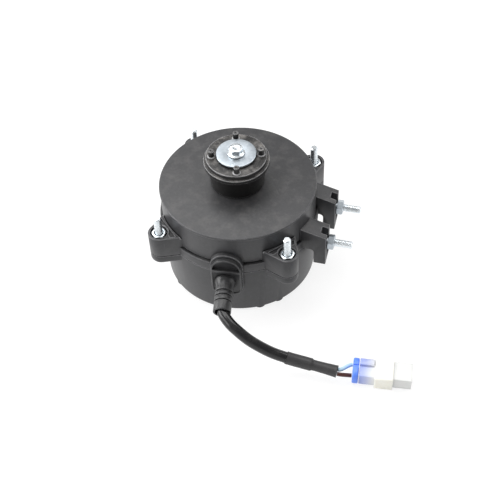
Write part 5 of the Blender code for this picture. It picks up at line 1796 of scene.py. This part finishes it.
class Route:
    """A smooth line through chosen points."""

    def __init__(self, points: Sequence[Vector]) -> None:
        """Holds the chosen points."""
        self.points = [Vector(point) for point in points]

    def sampled(self, spacing: float) -> list[Vector]:
        """Points at an even spacing along the smooth line.

        Args:
            spacing: The distance to aim for between two points.

        Returns:
            The points, from the first chosen point to the last.
        """
        given = self.points
        ends = [2 * given[0] - given[1], *given, 2 * given[-1] - given[-2]]
        dense = []
        fine = 40
        for a, b, c, d in zip(ends, ends[1:], ends[2:], ends[3:]):
            for step in range(fine):
                t = step / fine
                curve = 2 * b + (c - a) * t
                curve += (2 * a - 5 * b + 4 * c - d) * t * t
                curve += (3 * b - a - 3 * c + d) * t**3
                dense.append(curve * 0.5)
        dense.append(given[-1])
        runs = [0.0]
        for a, b in zip(dense, dense[1:]):
            runs.append(runs[-1] + (b - a).length)
        count = max(2, round(runs[-1] / spacing))
        picked, index = [], 0
        for step in range(count + 1):
            wanted = runs[-1] * step / count
            while index < len(runs) - 2 and runs[index + 1] < wanted:
                index += 1
            span = runs[index + 1] - runs[index]
            share = (wanted - runs[index]) / span if span else 0.0
            picked.append(dense[index].lerp(dense[index + 1], share))
        return picked

    @classmethod
    def eased(cls, start: Vector, heading: Vector, end: Vector, axis: Vector) -> "Route":
        """An S-curve that leaves along the heading and arrives along the axis.

        Args:
            start: Where the curve starts.
            heading: The direction in which it leaves.
            end: Where it ends.
            axis: The direction in which it arrives.

        Returns:
            The route.
        """
        reach = (end - start).length * 0.24
        first, last = start + heading * reach, end - axis * reach
        line = []
        spans = 8
        for step in range(spans + 1):
            t = step / spans
            early = start * (1 - t) ** 3 + first * 3 * t * (1 - t) ** 2
            line.append(early + last * 3 * t**2 * (1 - t) + end * t**3)
        return cls(line)

    @staticmethod
    def length(points: Sequence[Vector]) -> float:
        """The length of a line of points."""
        return sum((b - a).length for a, b in zip(points, points[1:]))

    @staticmethod
    def tube(points: Sequence[Vector], radii: Sequence[float], facets: int, end_round: float = 0.0) -> Form:
        """A closed tube of changing radius along a line of points.

        Args:
            points: The middle line.
            radii: The radius at each point.
            facets: Facets round the tube.
            end_round: How far both ends are eased in.

        Returns:
            The tube.
        """
        form = Form()
        work = form.mesh
        across = None
        rows = []
        for index, point in enumerate(points):
            before = points[max(index - 1, 0)]
            after = points[min(index + 1, len(points) - 1)]
            along = (after - before).normalized()
            if across is None:
                across = along.cross(UP).normalized()
            across = (across - along * across.dot(along)).normalized()
            other = along.cross(across)
            row = []
            for step in range(facets):
                angle = 2 * math.pi * step / facets
                place = point + (across * math.cos(angle) + other * math.sin(angle)) * radii[index]
                row.append(work.verts.new(place))
            rows.append(row)
        for lower, upper in zip(rows, rows[1:]):
            for step in range(facets):
                turn = (step + 1) % facets
                work.faces.new((lower[step], lower[turn], upper[turn], upper[step]))
        first = work.faces.new(list(reversed(rows[0])))
        last = work.faces.new(rows[-1])
        if end_round:
            edges = [*first.edges, *last.edges]
            bmesh.ops.bevel(work, geom=edges, offset=end_round, segments=2, affect="EDGES")
        return form.tidied()


@dataclass
class Cable:
    """The round cable, its shrink sleeve and the two wires that run to the plug."""

    grommet: Grommet
    plug: "Plug"
    radius: float = 2.9
    sleeve_radius: float = 3.3
    sleeve_thin: float = 2.78
    sleeve_flare: float = 0.4
    sleeve_length: float = 26.5
    sleeve_step: float = 13.5
    sleeve_soft: float = 1.2
    facets: int = 40
    wire: float = 1.05
    bends: tuple[tuple[float, float, float], ...] = (
        (10.1, -65.8, 25.2),
        (14.5, -68.5, 23.4),
        (22.8, -71.0, 18.8),
        (32.7, -71.4, 13.2),
        (41.3, -70.8, 9.6),
        (50.0, -70.5, 7.7),
        (58.5, -70.8, 6.9),
        (67.5, -71.5, 6.6),
    )

    def lines(self) -> tuple[list[Vector], list[Vector]]:
        """Finds the middle lines of the bare cable and of its sleeve.

        Returns:
            Both lines' points, the cable's first.
        """
        seat = self.grommet.neck_frame()
        depth = self.grommet.neck_length - self.grommet.bore_depth + 0.3
        start = seat @ Vector((0.1, 0.0, depth))
        mouth = seat @ Vector((0.5, -0.1, self.grommet.neck_length))
        fine = Route([start, mouth, *[Vector(bend) for bend in self.bends]]).sampled(0.4)
        run = 0.0
        for index in range(len(fine) - 1, 0, -1):
            run += (fine[index] - fine[index - 1]).length
            if run >= self.sleeve_length:
                return fine[:index], fine[index - 1 :]
        return fine, fine

    def sheath(self, line: list[Vector]) -> Form:
        """The cable's sheath.

        Args:
            line: The bare cable's middle line.

        Returns:
            The sheath.
        """
        points = Route(line[::4] + [line[-1]]).sampled(0.9)
        return Route.tube(points, [self.radius] * len(points), self.facets, 0.15)

    def sleeve(self, line: list[Vector]) -> Form:
        """The shrink sleeve, with the soft step where the sheath below it ends.

        Args:
            line: The sleeve's middle line.

        Returns:
            The sleeve.
        """
        points = Route(line[::6] + [line[-1]]).sampled(0.5)
        ripple_depth = 0.03
        radii, run = [], 0.0
        for index, point in enumerate(points):
            if index:
                run += (point - points[index - 1]).length
            share = (run - self.sleeve_step + self.sleeve_soft / 2) / self.sleeve_soft
            share = min(max(share, 0.0), 1.0)
            share = share * share * (3 - 2 * share)
            ripple = ripple_depth * math.sin(run * 2.3) * math.sin(run * 0.9 + 0.7)
            past = max(run - self.sleeve_step, 0.0) / (self.sleeve_length - self.sleeve_step)
            spread = self.sleeve_flare * past**2
            thinned = (self.sleeve_thin - self.sleeve_radius) * share
            radii.append(self.sleeve_radius + thinned + spread + ripple - ripple_depth)
        return Route.tube(points, radii, self.facets, 0.18)

    def wires(self, line: list[Vector]) -> dict[str, list[Vector]]:
        """The middle lines of the two wires.

        Args:
            line: The sleeve's middle line.

        Returns:
            The points of each wire by its name.
        """
        end = line[-1]
        heading = (line[-1] - line[-2]).normalized()
        plug_frame = self.plug.frame()
        axis = (plug_frame.to_3x3() @ Vector((1.0, 0.0, 0.0))).normalized()
        inset = 0.3
        found = {}
        for name, side in (("neutral", 1), ("live", -1)):
            entry = plug_frame @ Vector((-inset, side * self.plug.pitch / 2, 0.0))
            start = end + heading * inset + Vector((0.0, side * (self.wire + inset), 0.0))
            found[name] = Route.eased(start, heading, entry, axis).sampled(0.4)
        return found

    def place(self, placer: Placer) -> None:
        """Args:
            placer: Puts the pieces in the scene.
        """
        bare, covered = self.lines()
        heading = (covered[1] - covered[0]).normalized()
        covered[0] = bare[-1] + heading * 0.3
        cable = placer.piece("cable", self.sheath(bare), "cable_jacket", ["supply_cable"])
        extra = [placer.piece("sleeve", self.sleeve(covered), "shrink_sleeve", ["shrink_sleeve"])]
        for name, line in self.wires(covered).items():
            slot = "blue_wire_skin" if name == "neutral" else "brown_wire_skin"
            form = Route.tube(line, [self.wire] * len(line), 24, 0.1)
            extra.append(placer.piece(f"{name}_core", form, slot, [f"{name}_wire"]))
        extra += self.plug.place(placer)
        Route.length(bare) * MM


@dataclass
class Plug:
    """The two-way plug at the cable's end."""

    turn: float = 5.0
    width: float = 11.2
    height: float = 7.2
    length: float = 26.2
    retainer: float = 3.1
    retainer_width: float = 12.6
    retainer_height: float = 8.6
    shroud_start: float = 7.8
    shroud_length: float = 9.2
    pitch: float = 6.6
    gap: float = 0.3
    place_x: float = 74.8
    place_y: float = -67.5
    wall: float = 1.1
    mouth: float = 8.8

    def shroud_height(self) -> float:
        """Height of the ivory shroud."""
        return self.height + 2 * self.gap + 1.0

    def frame(self) -> Matrix:
        """The frame at the back of the retainer, local X along the plug."""
        return shift(self.place_x, self.place_y, 0.1 + self.shroud_height() / 2) @ spin(self.turn)

    def across(self) -> Matrix:
        """Stands an outline across the plug so that it is pulled along it."""
        turn = Matrix(((0.0, 0.0, 1.0), (1.0, 0.0, 0.0), (0.0, 1.0, 0.0))).to_4x4()
        return self.frame() @ turn

    def plate(self, width: float, height: float, radius: float, low: float, high: float) -> Form:
        """A rounded rectangle pulled along the plug.

        Args:
            width: The rectangle's width.
            height: Its height.
            radius: The radius of its corners.
            low: Where it starts along the plug.
            high: Where it ends.

        Returns:
            The form, not yet in its place.
        """
        signs = ((1, 1), (-1, 1), (-1, -1), (1, -1))
        corners = [(x * width / 2, y * height / 2, radius) for x, y in signs]
        return Form.slab(softened(corners, facets=6), low, high)

    def retainer_form(self) -> Form:
        """The blue retainer with a dent round each wire and a notch on top.

        Returns:
            The retainer.
        """
        length, top = self.retainer, self.retainer_height
        form = self.plate(self.retainer_width, top, 3.5, 0.0, length)
        form.rounded(0.7, 4, lambda middle: not NEAR <= middle.z <= length - NEAR)
        for side in (-1, 1):
            dent = Form.turned([(0.0, 1.0), (1.3, 1.0), (1.75, -0.5), (0.0, -0.5)], 32)
            form.cut(dent.placed(shift(side * self.pitch / 2, 0, -0.45)))
        waist = Form.block((-1.0, top / 2 - 0.5, -1.0), (1.0, top, length + 1))
        return form.cut(waist).placed(self.across())

    def housing_form(self) -> Form:
        """The clear housing with its latch ridge and open mouth.

        Returns:
            The housing.
        """
        start = self.retainer + self.gap
        end = start + self.length
        form = self.plate(self.width, self.height, 0.8, start, end)
        form.rounded(0.25, 2, lambda middle: not start + NEAR <= middle.z <= end - NEAR)
        top = self.height / 2
        ridge = Form.block((0.8, top - 0.5, start), (4.6, top + 1.3, start + self.shroud_start - 0.6))
        form.joined(ridge.rounded(0.3, 2, lambda middle: middle.y > top))
        walls = 2 * self.wall
        form.cut(self.plate(self.width - walls, self.height - walls, 0.4, end - self.mouth, end + 1.0))
        for side in (-1, 1):
            place = side * self.pitch / 2
            form.cut(Form.block((place - 0.8, -0.8, end - 11.8), (place + 0.8, 0.8, end - 8.0)))
        return form.placed(self.across())

    def shroud_form(self) -> Form:
        """The ivory shroud with grip ribs on its sides.

        Returns:
            The shroud.
        """
        low = self.retainer + self.gap + self.shroud_start
        high = low + self.shroud_length
        wide = self.width + 2 * self.gap
        form = self.plate(wide + 1.8, self.shroud_height(), 1.1, low, high)
        form.rounded(0.35, 2, lambda middle: not low + NEAR <= middle.z <= high - NEAR)
        form.cut(self.plate(wide, self.height + 2 * self.gap, 0.8, low - 1, high + 1))
        depth, half_pitch = 0.2, 0.35
        for step in range(4):
            middle = low + 1.8 + step * 1.9
            for side in (-1, 1):
                reach = side * (wide / 2 + 0.9)
                near = (reach - depth, -3.0, middle - half_pitch)
                form.cut(Form.block(near, (reach + depth, 3.0, middle + half_pitch)))
        return form.placed(self.across())

    def contact_form(self, side: int) -> Form:
        """One contact blade with a pointed tip.

        Args:
            side: -1 or 1, the side of the plug's middle.

        Returns:
            The contact.
        """
        end = self.retainer + self.gap + self.length
        place, half, tip = side * self.pitch / 2, 0.5, 1.5
        form = Form.block((place - half, -half, end - 11.5), (place + half, half, end - tip))
        form.rounded(0.3, 3, lambda middle: middle.z > end - 1.6)
        return form.placed(self.across())

    def place(self, placer: Placer) -> list[bpy.types.Object]:
        """Builds and dresses the plug's pieces.

        Args:
            placer: Puts the pieces in the scene.

        Returns:
            The new pieces.
        """
        made = [
            placer.piece("retainer", self.retainer_form(), "blue_nylon", ["plug_retainer"]),
            placer.piece("clear_body", self.housing_form(), "clear_nylon", ["plug_housing"]),
            placer.piece("shroud", self.shroud_form(), "ivory_nylon", ["plug_shroud"]),
        ]
        for index, side in enumerate((-1, 1), start=1):
            form = self.contact_form(side)
            made.append(placer.piece(f"contact_{index}", form, "tinned_brass", [f"plug_contact_{index}"]))
        return made


# Studio


@dataclass
class Lamp:
    """One soft lamp."""

    name: str
    place: tuple[float, float, float]
    size: tuple[float, float]
    power: float
    target: tuple[float, float, float] = (0.0, 0.0, 0.04)

    def hang(self) -> None:
        """Puts the lamp in the scene."""
        light = bpy.data.lights.new(self.name, "AREA")
        light.shape = "RECTANGLE"
        light.size, light.size_y = self.size
        light.energy = self.power
        obj = bpy.data.objects.new(self.name, light)
        bpy.context.scene.collection.objects.link(obj)
        obj.location = self.place
        aim = Vector(self.target) - Vector(self.place)
        obj.rotation_euler = aim.to_track_quat("-Z", "Y").to_euler()


@dataclass
class Studio:
    """Camera, floor, backdrop and lamps of a plain product photograph."""

    camera_place: tuple[float, float, float] = (0.10494, -0.35052, 0.42367)
    right: tuple[float, float, float] = (0.9704, 0.2395, -0.0314)
    up: tuple[float, float, float] = (-0.1611, 0.7386, 0.6546)
    focal_pixels: float = 993.39
    sensor: float = 36.0
    surround: float = 0.38
    ceiling: float = 0.35
    floor_radius: float = 0.9
    floor_sink: float = 0.0004
    floor_matt: float = 0.8
    floor_shown: float = 0.26
    floor_glow: float = 0.82
    lamps: tuple[Lamp, ...] = (
        Lamp("back panel", (-0.4, 0.31, 1.01), (0.9, 0.9), 7.5),
        Lamp("top panel", (-0.1, 0.05, 1.1), (0.8, 0.8), 0.8),
        Lamp("back right panel", (0.3, 0.5, 0.85), (0.5, 0.5), 2.4),
        Lamp("left panel", (-0.9, -0.08, 0.35), (0.75, 0.6), 6.3),
        Lamp("front left panel", (-0.55, -0.55, 0.45), (0.5, 0.5), 2.2),
        Lamp("right panel", (0.9, 0.1, 0.35), (0.5, 0.6), 0.8),
    )

    def camera(self) -> None:
        """Sets the camera where the photograph was taken."""
        right = Vector(self.right).normalized()
        up = Vector(self.up)
        up = (up - right * up.dot(right)).normalized()
        back = right.cross(up)
        data = bpy.data.cameras.new("photo camera")
        data.sensor_width = self.sensor
        data.lens = self.focal_pixels * self.sensor / IMAGE_SIDE
        data.clip_start = 0.01
        obj = bpy.data.objects.new("photo camera", data)
        bpy.context.scene.collection.objects.link(obj)
        turn = Matrix((right, up, back)).transposed().to_4x4()
        obj.matrix_world = Matrix.Translation(self.camera_place) @ turn
        bpy.context.scene.camera = obj

    def seen(self, wiring: Wiring) -> bpy.types.NodeSocket:
        """One where a ray comes from the camera, a reflection or through glass.

        Args:
            wiring: The wiring of the material that asks.

        Returns:
            The value, 0 or 1.
        """
        path = wiring.node("ShaderNodeLightPath")
        first = wiring.maths("MAXIMUM", path.outputs["Is Camera Ray"], path.outputs["Is Glossy Ray"])
        return wiring.maths("MAXIMUM", first, path.outputs["Is Transmission Ray"])

    def world(self) -> None:
        """Soft surroundings: plain white behind the motor, greyer overhead where only gloss shows them."""
        world = bpy.data.worlds.new("white surroundings")
        bpy.context.scene.world = world
        world.use_nodes = True
        wiring = Wiring(world.node_tree)
        ground = world.node_tree.nodes["Background"]
        ground.inputs["Color"].default_value = (1.0, 1.0, 1.0, 1.0)
        path = wiring.node("ShaderNodeLightPath")
        where = wiring.node("ShaderNodeTexCoord").outputs["Generated"]
        high = wiring.node("ShaderNodeSeparateXYZ", {0: where}).outputs["Z"]
        overhead = wiring.between(high, 0.0, 0.5, 1.0, self.ceiling)
        mirrored = wiring.maths(
            "MAXIMUM", path.outputs["Is Glossy Ray"], path.outputs["Is Transmission Ray"]
        )
        spare = wiring.maths("SUBTRACT", overhead, self.surround)
        around = wiring.maths("MULTIPLY_ADD", mirrored, spare, self.surround)
        strength = wiring.maths("MAXIMUM", around, path.outputs["Is Camera Ray"])
        wiring.feed(ground.inputs["Strength"], strength)

    def floor(self) -> None:
        """A white floor that keeps the motor's soft shadow."""
        mesh = bpy.data.meshes.new("floor")
        work = bmesh.new()
        bmesh.ops.create_circle(work, cap_ends=True, segments=96, radius=self.floor_radius)
        work.to_mesh(mesh)
        work.free()
        obj = bpy.data.objects.new("floor", mesh)
        bpy.context.scene.collection.objects.link(obj)
        obj.location.z = -self.floor_sink
        made = bpy.data.materials.new("white floor")
        made.use_nodes = True
        wiring = Wiring(made.node_tree)
        made.node_tree.nodes.remove(made.node_tree.nodes["Principled BSDF"])
        matt = wiring.node("ShaderNodeBsdfDiffuse", {"Color": (self.floor_matt,) * 3})
        shown = wiring.node("ShaderNodeBsdfDiffuse", {"Color": (self.floor_shown,) * 3})
        light = {"Color": (1.0, 1.0, 1.0), "Strength": self.floor_glow}
        glow = wiring.node("ShaderNodeEmission", light)
        both = wiring.node("ShaderNodeAddShader", {0: shown.outputs[0], 1: glow.outputs[0]})
        choice = {0: self.seen(wiring), 1: matt.outputs[0], 2: both.outputs[0]}
        mixed = wiring.node("ShaderNodeMixShader", choice)
        leave = made.node_tree.nodes["Material Output"]
        wiring.feed(leave.inputs["Surface"], mixed.outputs[0])
        mesh.materials.append(made)

    def build(self) -> None:
        """Builds the whole studio."""
        bpy.context.scene.view_settings.view_transform = "Standard"
        self.camera()
        self.world()
        self.floor()
        for lamp in self.lamps:
            lamp.hang()
        LOG.info("studio ready")


def main() -> None:
    """Builds the studio and the motor."""
    logging.basicConfig(level=logging.INFO, format="%(name)s: %(message)s")
    Studio().build()
    palette = Palette()
    palette.dress_solids()
    placer = Placer(palette)
    lugs = LugLayout()
    seat = GrommetSeat()
    grommet = Grommet(seat)
    Cable(grommet, Plug()).place(placer)
    Housing(lugs, seat).place(placer)
    Fastener().place(placer, lugs)
    BladeHub().place(placer)
    grommet.place(placer)
    LOG.info("%d pieces placed", len(placer.made))


if __name__ == "__main__":
    main()
